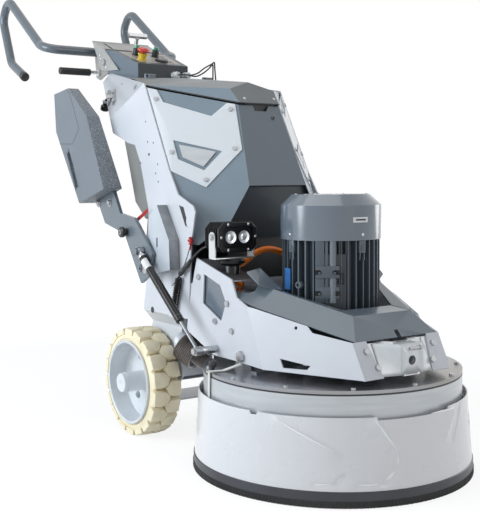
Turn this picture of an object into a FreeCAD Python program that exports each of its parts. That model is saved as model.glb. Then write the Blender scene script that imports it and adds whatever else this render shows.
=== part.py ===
import FreeCAD, Part
import math
import os
from FreeCAD import Vector

os.makedirs("parts", exist_ok=True)

# The model is laid out about the head's axis: X across, -Y to the front, +Z up, floor at Z 0.
# The finished pieces are moved along Y at the end, so that the origin is the footprint's middle.

# ---- clearances -------------------------------------------------------------------------
running_clearance = 0.05      # shaft in its bore, radial
seat_gap = 0.3                # curved or moving faces that lie against each other

# ---- dust skirt and head ----------------------------------------------------------------
brush_radius = 440.0
brush_height = 20.0
brush_width = 11.0
band_height = 26.0
band_thickness = 10.0
skirt_top = 246.0
skirt_bottom_radius = brush_radius - 6.0
skirt_top_radius = skirt_bottom_radius - 15.0
skirt_wall = 3.0
drum_radius = skirt_top_radius - 15.5
drum_wall = 4.0
drum_bottom = 62.0
drum_top = 303.0
drum_flange_inner = drum_radius - 19.5
gasket_thickness = 5.0
lid_thickness = 10.0
lid_bottom = drum_top + gasket_thickness
lid_top = lid_bottom + lid_thickness

# ---- planetary drive --------------------------------------------------------------------
gear_module = 9.0
sun_teeth = 31
planet_teeth = 26
planet_count = 3
gear_bottom = 132.0
gear_width = 35.0
gear_backlash = 0.9
spindle_radius = 30.0
disc_radius = drum_radius - 13.5
disc_bottom = 84.0
disc_thickness = 14.0
disc_boss_radius = 52.0
disc_boss_height = 28.0
tool_plate_radius = 135.0
tool_plate_thickness = 12.0
tool_height = 22.0
tool_hub_radius = 70.0
tool_hub_height = 28.0
tool_segments = 6

# ---- motor ------------------------------------------------------------------------------
motor_shaft_radius = 24.0
motor_core_radius = 128.0
motor_fin_radius = 152.0
motor_fin_count = 36
motor_fin_thickness = 4.5
motor_flange_radius = 175.0
motor_flange_thickness = 18.0
motor_bolt_circle = 160.0
motor_body_top = 714.0
cowl_radius = 157.0
cowl_wall = 3.0
cowl_shoulder = 819.0
cowl_top = 852.0
cowl_top_radius = 121.0
fan_radius = 140.0

# ---- chassis ----------------------------------------------------------------------------
frame_half_width = 300.0
plate = 5.0
chassis_bottom = 339.0
nose_half_width = 167.0
nose_front = -345.0
nose_top_y = -294.0
nose_top = 439.0
hinge_y = 62.0
hinge_z = 362.0
hinge_pin_radius = 10.0

# ---- wheels -----------------------------------------------------------------------------
wheel_y = 651.0
tyre_radius = 191.0
tyre_width = 105.0
tyre_outer_face = 378.0
rim_radius = 146.0
axle_radius = 20.0
hub_radius = 35.0
lower_plate_face = 262.0

# ---- folding weights and gas springs ----------------------------------------------------
arm_face = 356.0
arm_thickness = 12.0
arm_pivot_y = 560.0
arm_pivot_z = 600.0
arm_pin_radius = 10.0
spring_face = 371.0
spring_eye_thickness = 24.0
spring_top_y = 575.0
spring_top_z = 658.0
spring_foot_y = 198.0
spring_foot_z = 366.0
cylinder_radius = 14.0
rod_radius = 6.0
bracket_face = 340.0
block_bottom_half = 40.0
block_top_half = 22.0

# ---- column, neck and console -----------------------------------------------------------
column_face = frame_half_width - plate
neck_rear_half_width = 118.0
console_front_y = 1034.0
console_slope = math.radians(20.5)
button_radius = 11.0

# ---- handle -----------------------------------------------------------------------------
handle_half_width = 314.0
handle_tube_radius = 19.0
handle_tube_wall = 3.0
handle_bar_y = 1446.0
handle_bar_z = 1457.0
carrier_half_width = 95.0
carrier_plate = 6.0
handle_pivot_y = 1392.0
handle_pivot_z = 1330.0
lever_y = 1433.0
lever_z = 1368.0

# ---- work lamp --------------------------------------------------------------------------
lamp_x = -247.0
lamp_y = 188.0
lamp_pivot_height = 88.0
lamp_width = 132.0
lamp_height = 86.0
lamp_depth = 56.0


# ==== helpers ============================================================================
def cylinder(radius, start, end):
    axis = end.sub(start)
    return Part.makeCylinder(radius, axis.Length, start, axis)


def ring(outer, inner, start, end):
    return cylinder(outer, start, end).cut(cylinder(inner, start, end))


def upright(radius, bottom, top, x=0.0, y=0.0):
    return cylinder(radius, Vector(x, y, bottom), Vector(x, y, top))


def crosswise(radius, x0, x1, y, z):
    return cylinder(radius, Vector(x0, y, z), Vector(x1, y, z))


def block(x0, x1, y0, y1, z0, z1):
    return Part.makeBox(abs(x1 - x0), abs(y1 - y0), abs(z1 - z0),
                        Vector(min(x0, x1), min(y0, y1), min(z0, z1)))


def polygon(points):
    return Part.Face(Part.makePolygon(list(points) + [points[0]]))


def side_profile(outline, x0, x1):
    """A flat outline of (y, z) points, carried from x0 to x1."""
    face = polygon([Vector(x0, y, z) for y, z in outline])
    return face.extrude(Vector(x1 - x0, 0, 0))


def slab(corners, thickness, inner_point):
    """A flat sheet whose outer corners are given, thickened towards inner_point."""
    face = polygon(corners)
    normal = face.normalAt(0, 0)
    if normal.dot(inner_point.sub(corners[0])) < 0:
        normal = normal.multiply(-1.0)
    return face.extrude(normal.multiply(thickness))


def bead(a, b, radius, inner_point):
    """A weld bead that joins two sheets along the edge where their outer faces meet."""
    inward = inner_point.sub(a.add(b).multiply(0.5)).normalize()
    step = Vector(inward).multiply(0.6 * radius)
    over = b.sub(a).normalize().multiply(0.6 * radius)
    return cylinder(radius, a.add(step).sub(over), b.add(step).add(over))


def plane(a, b, c):
    normal = b.sub(a).cross(c.sub(a))
    normal.normalize()
    return normal, normal.dot(a)


def meet(first, second, third):
    """The point that three planes share."""
    (n1, d1), (n2, d2), (n3, d3) = first, second, third
    total = n2.cross(n3) * d1 + n3.cross(n1) * d2 + n1.cross(n2) * d3
    return total * (1.0 / n1.dot(n2.cross(n3)))


def across(x):
    return Vector(1, 0, 0), x


def along(y):
    return Vector(0, 1, 0), y


def level(z):
    return Vector(0, 0, 1), z


def flip(point):
    return Vector(-point.x, point.y, point.z)


def mirrored(shape):
    return shape.mirror(Vector(0, 0, 0), Vector(1, 0, 0))


def fused(shapes):
    joined = shapes[0].fuse(list(shapes[1:])) if len(shapes) > 1 else shapes[0]
    return joined.removeSplitter()


def both(shape):
    return fused([shape, mirrored(shape)])


def offset_line(points, distance):
    """The same open line of (a, b) points, moved sideways with mitred corners."""
    moved = []
    last = len(points) - 1
    for index, (a, b) in enumerate(points):
        normals = []
        for i, j in ((index - 1, index), (index, index + 1)):
            if i >= 0 and j <= last:
                da, db = points[j][0] - points[i][0], points[j][1] - points[i][1]
                length = math.hypot(da, db)
                normals.append((-db / length, da / length))
        na = sum(n[0] for n in normals) / len(normals)
        nb = sum(n[1] for n in normals) / len(normals)
        scale = distance / (na * na + nb * nb)
        moved.append((a + na * scale, b + nb * scale))
    return moved


def revolved(outline, x=0.0, y=0.0, start=0.0, turn=360.0):
    """A closed (radius, z) outline turned about an upright axis."""
    face = polygon([Vector(r, 0, z) for r, z in outline])
    solid = face.revolve(Vector(0, 0, 0), Vector(0, 0, 1), turn)
    solid.rotate(Vector(0, 0, 0), Vector(0, 0, 1), start)
    solid.translate(Vector(x, y, 0))
    return solid


def turned_crosswise(outline, y, z):
    """A closed (x, radius) outline turned about an axis across the machine."""
    face = polygon([Vector(x, y, z + r) for x, r in outline])
    return face.revolve(Vector(0, y, z), Vector(1, 0, 0), 360)


def rounded_path(points, radius):
    """Straight runs joined by tangent arcs of one radius."""
    edges = []
    start = points[0]
    for before, corner, after in zip(points, points[1:], points[2:]):
        back = before.sub(corner).normalize()
        ahead = after.sub(corner).normalize()
        half = back.getAngle(ahead) / 2.0
        reach = radius / math.tan(half)
        middle = back.add(ahead).normalize()
        centre = corner.add(middle.multiply(radius / math.sin(half)))
        first = corner.add(Vector(back).multiply(reach))
        last = corner.add(Vector(ahead).multiply(reach))
        to_corner = corner.sub(centre).normalize()
        top = centre.add(to_corner.multiply(radius))
        edges.append(Part.LineSegment(start, first).toShape())
        edges.append(Part.Arc(first, top, last).toShape())
        start = last
    edges.append(Part.LineSegment(start, points[-1]).toShape())
    return Part.Wire(edges)


def cord_path(points):
    """Straight runs joined by arcs as large as the runs beside each point allow."""
    edges = []
    radii = []
    start = points[0]
    for before, corner, after in zip(points, points[1:], points[2:]):
        shorter = min(corner.sub(before).Length, after.sub(corner).Length)
        back = before.sub(corner).normalize()
        ahead = after.sub(corner).normalize()
        turn = math.pi - back.getAngle(ahead)
        reach = 0.45 * shorter
        radius = reach / math.tan(turn / 2.0)
        radii.append(round(radius, 1))
        first = corner.add(Vector(back).multiply(reach))
        last = corner.add(Vector(ahead).multiply(reach))
        middle = back.add(ahead).normalize()
        centre = corner.add(Vector(middle).multiply(radius / math.cos(turn / 2.0)))
        top = centre.sub(Vector(middle).multiply(radius))
        edges.append(Part.LineSegment(start, first).toShape())
        edges.append(Part.Arc(first, top, last).toShape())
        start = last
    edges.append(Part.LineSegment(start, points[-1]).toShape())
    return Part.Wire(edges), radii


def swept(path, radius):
    first = path.Edges[0]
    direction = first.tangentAt(first.FirstParameter)
    section = Part.Wire(Part.makeCircle(radius, first.valueAt(first.FirstParameter), direction))
    return path.makePipeShell([section], True, False)


def cord(name, points, radius):
    path, radii = cord_path(points)
    print(name, "arc radii", radii)
    return swept(path, radius)


def hexagon_head(position, direction, across_flats, height):
    """A hexagon bolt head that stands on a face at position."""
    corner = across_flats / math.sqrt(3.0)
    points = [Vector(corner * math.cos(math.pi / 3 * k), corner * math.sin(math.pi / 3 * k), 0)
              for k in range(6)]
    head = polygon(points).extrude(Vector(0, 0, height))
    head.Placement = FreeCAD.Placement(position, FreeCAD.Rotation(Vector(0, 0, 1), direction))
    return head


# ==== gears ==============================================================================
pressure_angle = math.radians(20)
planet_orbit = gear_module * (sun_teeth + planet_teeth) / 2.0
ring_teeth = sun_teeth + 2 * planet_teeth


def involute(angle):
    return math.tan(angle) - angle


def half_tooth_angle(teeth, radius):
    """Half the tooth's angle at a radius, on an involute flank."""
    pitch_radius = gear_module * teeth / 2.0
    base_radius = pitch_radius * math.cos(pressure_angle)
    at_pitch = math.pi / (2 * teeth) - gear_backlash / (2 * pitch_radius)
    slope = math.acos(min(1.0, base_radius / max(radius, base_radius)))
    return at_pitch + involute(pressure_angle) - involute(slope)


def gear_face(teeth, tip, root, phase, z):
    """The outline of a spur gear; a ring gear has its tip inside its root."""
    pitch_radius = gear_module * teeth / 2.0
    points = []
    for tooth in range(teeth):
        middle = phase + 2 * math.pi * tooth / teeth
        if tip > root:
            spread = [(root, -1), (pitch_radius, -1), (tip, -1), (tip, 1), (pitch_radius, 1), (root, 1)]
            angles = [side * half_tooth_angle(teeth, radius) for radius, side in spread]
        else:
            space = math.pi / teeth
            spread = [(root, -1), (pitch_radius, -1), (tip, -1), (tip, 1), (pitch_radius, 1), (root, 1)]
            angles = [side * (space - half_tooth_angle(teeth, radius) - gear_backlash / pitch_radius)
                      for radius, side in spread]
        for (radius, side), angle in zip(spread, angles):
            points.append(Vector(radius * math.cos(middle + angle),
                                 radius * math.sin(middle + angle), z))
    return polygon(points)


def planet_phase(direction):
    """The planet's turn that puts a tooth space on the sun's tooth in this direction."""
    sun_part = direction * sun_teeth / (2 * math.pi)
    return direction + math.pi - (2 * math.pi / planet_teeth) * (0.5 - sun_part)


planet_directions = [math.radians(90 + 360.0 * k / planet_count) for k in range(planet_count)]
ring_phase = (planet_directions[0]
              - (2 * math.pi / ring_teeth)
              * ((planet_directions[0] - planet_phase(planet_directions[0]))
                 * planet_teeth / (2 * math.pi) - 0.5))


# ==== dust skirt =========================================================================
skirt_bottom = brush_height + band_height


def skirt_outer(z):
    share = (z - skirt_bottom) / (skirt_top - skirt_bottom)
    return skirt_bottom_radius + (skirt_top_radius - skirt_bottom_radius) * share


def make_skirt_shell():
    shell = revolved([
        (skirt_bottom_radius - skirt_wall, skirt_bottom),
        (skirt_bottom_radius, skirt_bottom),
        (skirt_top_radius, skirt_top),
        (skirt_top_radius - skirt_wall, skirt_top)])
    for start, turn, notch_depth in ((-112, 34, 9.0), (-163, 3, 9.0), (111, 14, 26.0)):
        shell = shell.cut(revolved([
            (skirt_top_radius - 20, skirt_top - notch_depth), (skirt_top_radius + 20, skirt_top - notch_depth),
            (skirt_top_radius + 20, skirt_top + 1), (skirt_top_radius - 20, skirt_top + 1)],
            start=start, turn=turn))
    return shell


def make_skirt_band():
    outer = brush_radius - 3.0
    return revolved([
        (outer - band_thickness, brush_height), (outer, brush_height),
        (outer, skirt_bottom - 2), (outer - 2, skirt_bottom), (outer - band_thickness, skirt_bottom)])


def make_skirt_brush():
    return revolved([(brush_radius - brush_width, 0), (brush_radius, 0),
                     (brush_radius - 2, brush_height), (brush_radius - brush_width, brush_height)])


# ==== head ===============================================================================
dust_port_radius = 24.0
dust_port_wall = 3.0
dust_port_z = 277.0
dust_port_reach = drum_radius + 36.5
dust_port_direction = Vector(-0.469, 0.883, 0).normalize()


def at_port(distance):
    return Vector(dust_port_direction).multiply(distance).add(Vector(0, 0, dust_port_z))


def make_drum():
    inner = drum_radius - drum_wall
    gear_root = gear_module * ring_teeth / 2.0 + 1.25 * gear_module
    gear_tip = gear_module * ring_teeth / 2.0 - 0.9 * gear_module
    shell = revolved([
        (inner, drum_bottom), (drum_radius, drum_bottom), (drum_radius, drum_top),
        (drum_flange_inner, drum_top), (drum_flange_inner, drum_top - 6), (inner, drum_top - 6)])
    teeth = upright(inner, gear_bottom, gear_bottom + gear_width).cut(
        gear_face(ring_teeth, gear_tip, gear_root, ring_phase, gear_bottom).extrude(
            Vector(0, 0, gear_width)))
    lug_low, lug_high = 140.0, 190.0
    lug = [(drum_radius - 1, lug_low), (skirt_outer(lug_low) - skirt_wall - seat_gap, lug_low),
           (skirt_outer(lug_high) - skirt_wall - seat_gap, lug_high), (drum_radius - 1, lug_high)]
    lugs = [revolved(lug, start=angle - 4, turn=8) for angle in (20, 110, 200, 290)]
    port = cylinder(dust_port_radius, at_port(drum_radius - 12), at_port(dust_port_reach))
    bore = cylinder(dust_port_radius - dust_port_wall, at_port(drum_radius - 30), at_port(dust_port_reach + 1))
    return fused([shell, teeth, port] + lugs).cut(bore)


def make_gasket():
    full = revolved([(drum_flange_inner, drum_top), (drum_radius - 3, drum_top),
                     (drum_radius - 3, lid_bottom), (drum_flange_inner, lid_bottom)])
    front = revolved([(drum_flange_inner, drum_top), (drum_radius, drum_top),
                      (drum_radius, lid_bottom), (drum_flange_inner, lid_bottom)], start=-135, turn=120)
    return fused([full, front])


lid_boss_radius = 95.0
lid_boss_bottom = gear_bottom + gear_width + 28.0
ear_gap = 0.5
ear_thickness = 12.0
ear_outer = column_face - ear_gap
ear_half_length = 46.0
ear_top = hinge_z + 26.0


def make_head_lid():
    disc = upright(drum_radius, lid_bottom, lid_top)
    boss = upright(lid_boss_radius, lid_boss_bottom, lid_bottom)
    ears = []
    for side in (-1, 1):
        profile = [(hinge_y - ear_half_length, lid_top), (hinge_y + ear_half_length, lid_top),
                   (hinge_y + 20, ear_top), (hinge_y - 20, ear_top)]
        ears.append(side_profile(profile, side * (ear_outer - ear_thickness), side * ear_outer))
        ears.append(block(side * (ear_outer - 70), side * ear_outer, hinge_y - ear_half_length - 24,
                          hinge_y + ear_half_length, lid_top, lid_top + 6))
    lid = fused([disc, boss] + ears)
    lid = lid.cut(upright(motor_shaft_radius + running_clearance, lid_boss_bottom - 1, lid_top + 1))
    pin_hole = crosswise(hinge_pin_radius + running_clearance, -ear_outer - 1, ear_outer + 1,
                         hinge_y, hinge_z)
    return lid.cut(pin_hole)


motor_flange_top = lid_top + motor_flange_thickness
fin_bottom = motor_flange_top + 58.0
pad_direction = -130.0
pad_half_width = 46.0


def make_motor_stator():
    core = revolved([
        (0, lid_top), (motor_flange_radius, lid_top), (motor_flange_radius, motor_flange_top),
        (motor_bolt_circle - 14.5, motor_flange_top), (140, motor_flange_top + 6), (140, fin_bottom - 12), (motor_core_radius, fin_bottom),
        (motor_core_radius, motor_body_top), (0, motor_body_top)])
    pieces = [core]
    for fin in range(motor_fin_count):
        angle = 360.0 * fin / motor_fin_count
        blade = block(motor_core_radius - 6, motor_fin_radius, -motor_fin_thickness / 2,
                      motor_fin_thickness / 2, fin_bottom, motor_body_top)
        blade.rotate(Vector(0, 0, 0), Vector(0, 0, 1), angle)
        pieces.append(blade)
    pad = block(100, motor_fin_radius - 1, -pad_half_width, pad_half_width, fin_bottom, motor_body_top - 40)
    for lug_z in (fin_bottom + 60, fin_bottom + 190):
        for offset in (-28, 28):
            notch = block(motor_fin_radius - 14, motor_fin_radius + 2, offset - 12, offset + 12,
                          lug_z, lug_z + 34)
            pad = pad.cut(notch)
    pad.rotate(Vector(0, 0, 0), Vector(0, 0, 1), pad_direction)
    terminal_box = block(motor_core_radius - 8, motor_fin_radius + 62, -62, 62,
                         motor_body_top - 190, motor_body_top - 40)
    terminal_box.rotate(Vector(0, 0, 0), Vector(0, 0, 1), pad_direction + 180)
    stator = fused(pieces + [pad, terminal_box])
    return stator.cut(upright(motor_shaft_radius + running_clearance, lid_top - 1, motor_body_top + 1))


def make_motor_cowl():
    inner = cowl_radius - cowl_wall
    shell = revolved([
        (142, motor_body_top), (cowl_radius, motor_body_top), (cowl_radius, cowl_shoulder),
        (cowl_top_radius, cowl_top), (0, cowl_top), (0, cowl_top - cowl_wall),
        (cowl_top_radius - 2, cowl_top - cowl_wall), (inner, cowl_shoulder - 2),
        (inner, motor_body_top + cowl_wall), (142, motor_body_top + cowl_wall)])
    slots = []
    for row_radius, length, count in ((58, 34, 16), (100, 30, 28)):
        for k in range(count):
            slot = block(row_radius - length / 2, row_radius + length / 2, -3, 3,
                         cowl_top - cowl_wall - 2, cowl_top + 2)
            slot.rotate(Vector(0, 0, 0), Vector(0, 0, 1), 360.0 * k / count)
            slots.append(slot)
    return shell.cut(Part.makeCompound(slots))


# ==== turning parts of the head ==========================================================
shaft_bottom = disc_bottom + 4.0
shaft_top = motor_body_top + 66.0


def make_motor_shaft():
    shaft = upright(motor_shaft_radius, shaft_bottom, shaft_top)
    tip = gear_module * (sun_teeth / 2.0 + 0.9)
    root = gear_module * (sun_teeth / 2.0 - 1.2)
    gear = gear_face(sun_teeth, tip, root, 0.0, gear_bottom).extrude(Vector(0, 0, gear_width))
    return fused([shaft, gear])


def make_motor_fan():
    low = motor_body_top + 18.0
    hub = upright(44, low, low + 40)
    back = upright(fan_radius, low, low + 4)
    blades = []
    for k in range(9):
        blade = block(30, fan_radius, -2, 2, low, low + 44)
        blade.rotate(Vector(0, 0, 0), Vector(0, 0, 1), 40.0 * k)
        blades.append(blade)
    return fused([hub, back] + blades).cut(upright(motor_shaft_radius, low - 1, low + 60))


def planet_centre(index):
    angle = planet_directions[index]
    return planet_orbit * math.cos(angle), planet_orbit * math.sin(angle)


def make_planet_disc():
    top = disc_bottom + disc_thickness + disc_boss_height
    disc = upright(disc_radius, disc_bottom, disc_bottom + disc_thickness)
    bosses = [upright(60, disc_bottom, top)]
    bores = [upright(motor_shaft_radius + running_clearance, disc_bottom - 1, top + 1)]
    for index in range(planet_count):
        x, y = planet_centre(index)
        bosses.append(upright(disc_boss_radius, disc_bottom, top, x, y))
        bores.append(upright(spindle_radius + running_clearance, disc_bottom - 1, top + 1, x, y))
    return fused([disc] + bosses).cut(Part.makeCompound(bores))


hub_top = tool_height + tool_plate_thickness + tool_hub_height


def make_spindle(index):
    x, y = planet_centre(index)
    shaft = upright(spindle_radius, hub_top, gear_bottom + gear_width + 12, x, y)
    flange = upright(tool_hub_radius - 8, hub_top, hub_top + 10, x, y)
    tip = gear_module * (planet_teeth / 2.0 + 0.9)
    root = gear_module * (planet_teeth / 2.0 - 1.2)
    gear = gear_face(planet_teeth, tip, root, planet_phase(planet_directions[index]),
                     gear_bottom).extrude(Vector(0, 0, gear_width))
    gear.translate(Vector(x, y, 0))
    return fused([shaft, flange, gear])


def make_tool_plate(index):
    x, y = planet_centre(index)
    plate_top = tool_height + tool_plate_thickness
    body = upright(tool_plate_radius, tool_height, plate_top, x, y)
    hub = upright(tool_hub_radius, plate_top, hub_top, x, y)
    segments = []
    for k in range(tool_segments):
        tool = block(tool_plate_radius - 52, tool_plate_radius - 6, -13, 13, 0, tool_height)
        tool.rotate(Vector(0, 0, 0), Vector(0, 0, 1), 360.0 * k / tool_segments)
        tool.translate(Vector(x, y, 0))
        segments.append(tool)
    return fused([body, hub] + segments)


# ==== chassis ============================================================================
fold_low = Vector(-frame_half_width, -49, chassis_bottom)
fold_high = Vector(-frame_half_width, 33, 518)
nose_low = Vector(-nose_half_width, nose_front, chassis_bottom)
nose_high = Vector(-nose_half_width, nose_top_y, nose_top)
cheek_plane = plane(fold_low, fold_high, nose_low)
nose_plane = plane(nose_low, nose_high, flip(nose_low))
middle = Vector(0, 0, 450)
flange_half_gap = 96.0


def on_cheek(y, z):
    """The point of the tapering cheek plate at this length and height."""
    return meet(cheek_plane, along(y), level(z))


bulkhead_y = 300.0


def make_chassis():
    rear_outline = [
        (314, 647), (114, 593), (87, 540), (fold_high.y, fold_high.z), (fold_low.y, fold_low.z),
        (79, 343), (219, 343), (380, 402), (365, 491)]
    rear = side_profile(rear_outline, -frame_half_width, -frame_half_width + plate)
    window = side_profile([(271, 598), (178, 570), (145, 517), (174, 457), (279, 503)],
                          -frame_half_width - 1, -frame_half_width + plate + 1)
    rear = rear.cut(window)
    corner = meet(cheek_plane, nose_plane, level(nose_top))
    low_corner = meet(cheek_plane, nose_plane, level(chassis_bottom))
    cheek = slab([fold_low, fold_high, on_cheek(14, 515), on_cheek(-159, 475), on_cheek(-177, 457),
                  corner, low_corner], plate, middle)
    cut_face = [on_cheek(-94, 376), on_cheek(-108, 350), on_cheek(-179, 352), on_cheek(-187, 364)]
    outward = Vector(-60, -26, 0)
    opening = polygon([p.add(outward) for p in cut_face]).extrude(Vector(120, 52, 0))
    slot_centre = on_cheek(-127, 467)
    slot = cylinder(5, slot_centre.add(outward), slot_centre.sub(outward))
    cheek = cheek.cut(opening).cut(slot)
    flange = slab([low_corner, corner, Vector(-flange_half_gap - 22, corner.y, corner.z),
                   Vector(-flange_half_gap, low_corner.y, low_corner.z)], plate, Vector(0, 0, 500))
    deck = slab([Vector(-column_face, 314, 643), Vector(-column_face, 114, 589),
                 Vector(-column_face + 90, 114, 589), Vector(-column_face + 90, 314, 643)],
                4.0, Vector(0, 200, 400))
    side = fused([rear, cheek, flange])
    bulkhead = block(-column_face, column_face, bulkhead_y, bulkhead_y + 6, 480, 560)
    return fused([side, mirrored(side), deck, mirrored(deck), bulkhead]).cut(
        crosswise(hinge_pin_radius + running_clearance, -frame_half_width - 1, frame_half_width + 1,
                  hinge_y, hinge_z))


chassis_shape = make_chassis()
tow_hole_radius = 10.5
tow_z = 382.0
tow_half = 31.0
tow_face = -356.0
bracket_sheet = 6.0


def make_front_bracket():
    """Galvanised nose piece: two wings behind the flanges, hollowed sides and a tow block."""
    lean = (nose_top_y - nose_front) / (nose_top - chassis_bottom)
    low, high = chassis_bottom + 3, nose_top - 8

    seat = plate * math.hypot(1.0, lean)
    front_low = nose_front + lean * (low - chassis_bottom)
    line = [(-150, seat), (-92, seat), (-76, 21), (-56, 23), (-42, 6), (-tow_half + 4, -16)]
    outline = line + offset_line(line, bracket_sheet)[::-1]
    rise = Vector(0, lean * (high - low), high - low)
    half = polygon([Vector(x, front_low + back, low) for x, back in outline]).extrude(rise)
    boss = block(-tow_half, tow_half, tow_face, tow_face + 62, chassis_bottom, 430)
    bracket = fused([half, mirrored(half), boss])
    return bracket.cut(cylinder(tow_hole_radius, Vector(0, tow_face - 1, tow_z), Vector(0, tow_face + 70, tow_z)))


guard_sheet = 4.0


def make_motor_guard():
    """Folded sheet collar round the motor, resting on the chassis' nose."""
    front_low = Vector(-158, nose_top_y, nose_top)
    front_high = Vector(-114, -235, 503)
    rear_low = on_cheek(5, 515).add(Vector(7, 0, 0))
    side_plane = plane(front_low, front_high, rear_low)
    rear_high = meet(side_plane, along(11), level(566))
    inside = Vector(0, 0, 300)
    side = slab([front_low, front_high, rear_high, rear_low], guard_sheet, inside)
    tail_plane = plane(rear_low, rear_high, Vector(-297, 110, 539))
    tail_edge = [meet(tail_plane, along(y), level(z))
                 for y, z in ((110, 539), (123, 558), (77, 552), (62, 558), (72, 578))]
    tail = slab([rear_low, rear_high] + tail_edge[::-1], guard_sheet, inside)
    lip_front = Vector(-97, -172, 512)
    lip_plane = plane(front_high, lip_front, rear_high)
    lip_rear = meet(lip_plane, along(6), across(-190))
    lip = slab([front_high, lip_front, lip_rear, rear_high], guard_sheet, inside)
    wing_plane = plane(Vector(-201, 100, 624), Vector(-262, 84, 617), rear_high)
    wing_edge = [meet(wing_plane, along(y), across(x))
                 for x, y in ((-184, 10), (-201, 100), (-262, 84), (-255, 33))]
    wing = slab([rear_high] + wing_edge, guard_sheet, inside)
    front = slab([front_low, front_high, flip(front_high), flip(front_low)], guard_sheet, inside)
    front_lip = slab([front_high, lip_front, flip(lip_front), flip(front_high)], guard_sheet, inside)
    half = fused([side, tail, lip, wing, bead(front_high, lip_front, 2.5, inside)])
    guard = fused([half, mirrored(half), front, front_lip])
    notch = block(4, 20, nose_top_y - 20, nose_top_y + 20, nose_top - 4, nose_top + 20)
    return guard.cut(notch).cut(chassis_shape)


# ==== column, cabinet and hood ===========================================================
column_front = [(652, 1242), (485, 935), (428, 852), (333, 815), (321, 796), (349, 687), (365, 491)]
column_rear = [(679, 440), (650, 565), (653, 690), (632, 800), (686, 963), (726, 1029), (778, 1038),
               (897, 1080), (920, 1133)]
neck_plane = plane(Vector(-frame_half_width, 652, 1242), Vector(-frame_half_width, 920, 1133),
                   Vector(-120, 1290, 1340))
neck_low = meet(neck_plane, along(1333), level(1319))
neck_high = meet(neck_plane, along(1270), level(1351))
cover_normal, cover_distance = plane(Vector(-frame_half_width, 645, 1226),
                                     Vector(-frame_half_width, 488, 934), Vector(-125, 271, 880))
if cover_normal.x > 0:
    cover_normal, cover_distance = cover_normal * -1.0, -cover_distance
side_panel_thickness = 4.0
sheet = 3.0
front_plane = plane(Vector(-91, 382, 1155), Vector(-125, 271, 880), Vector(125, 271, 880))
cabinet_centre = Vector(0, 600, 1000)


def cover_plane(depth=0.0):
    return cover_normal, cover_distance - depth


def on_cover(y, z, depth=0.0):
    return meet(cover_plane(depth), along(y), level(z))


def folded_strip(points, thickness, x0, x1):
    """A folded sheet that follows (y, z) points, its inside to the left of their order."""
    return side_profile(list(points) + offset_line(points, thickness)[::-1], x0, x1)


hose_radius = 28.0
hose_end = Vector(-238, 458, 314)
hose_corner = at_port(dust_port_reach + 18)
cuff_radius = 45.0
cuff_overlap = 36.0
cuff_wall = 3.0
curly_end = Vector(-312, 445, 456)


def at_hose_end(distance):
    """A point on the line of the hose's last run, measured on from its loose end."""
    return hose_end.add(hose_end.sub(hose_corner).normalize().multiply(distance))


column_knob_x = -226.0
column_knob_y = 1100.0
side_pin_radius = 5.0
knob_seat_height = 3.0


def neck_back_point(x, y):
    """A point on the outer face of the neck's sloping back."""
    return Vector(x, y, 1133 + (y - 920) * (neck_low.z - 1133) / (neck_low.y - 920))


def neck_outward():
    return Vector(0, neck_low.z - 1133, 920 - neck_low.y).normalize()


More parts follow.
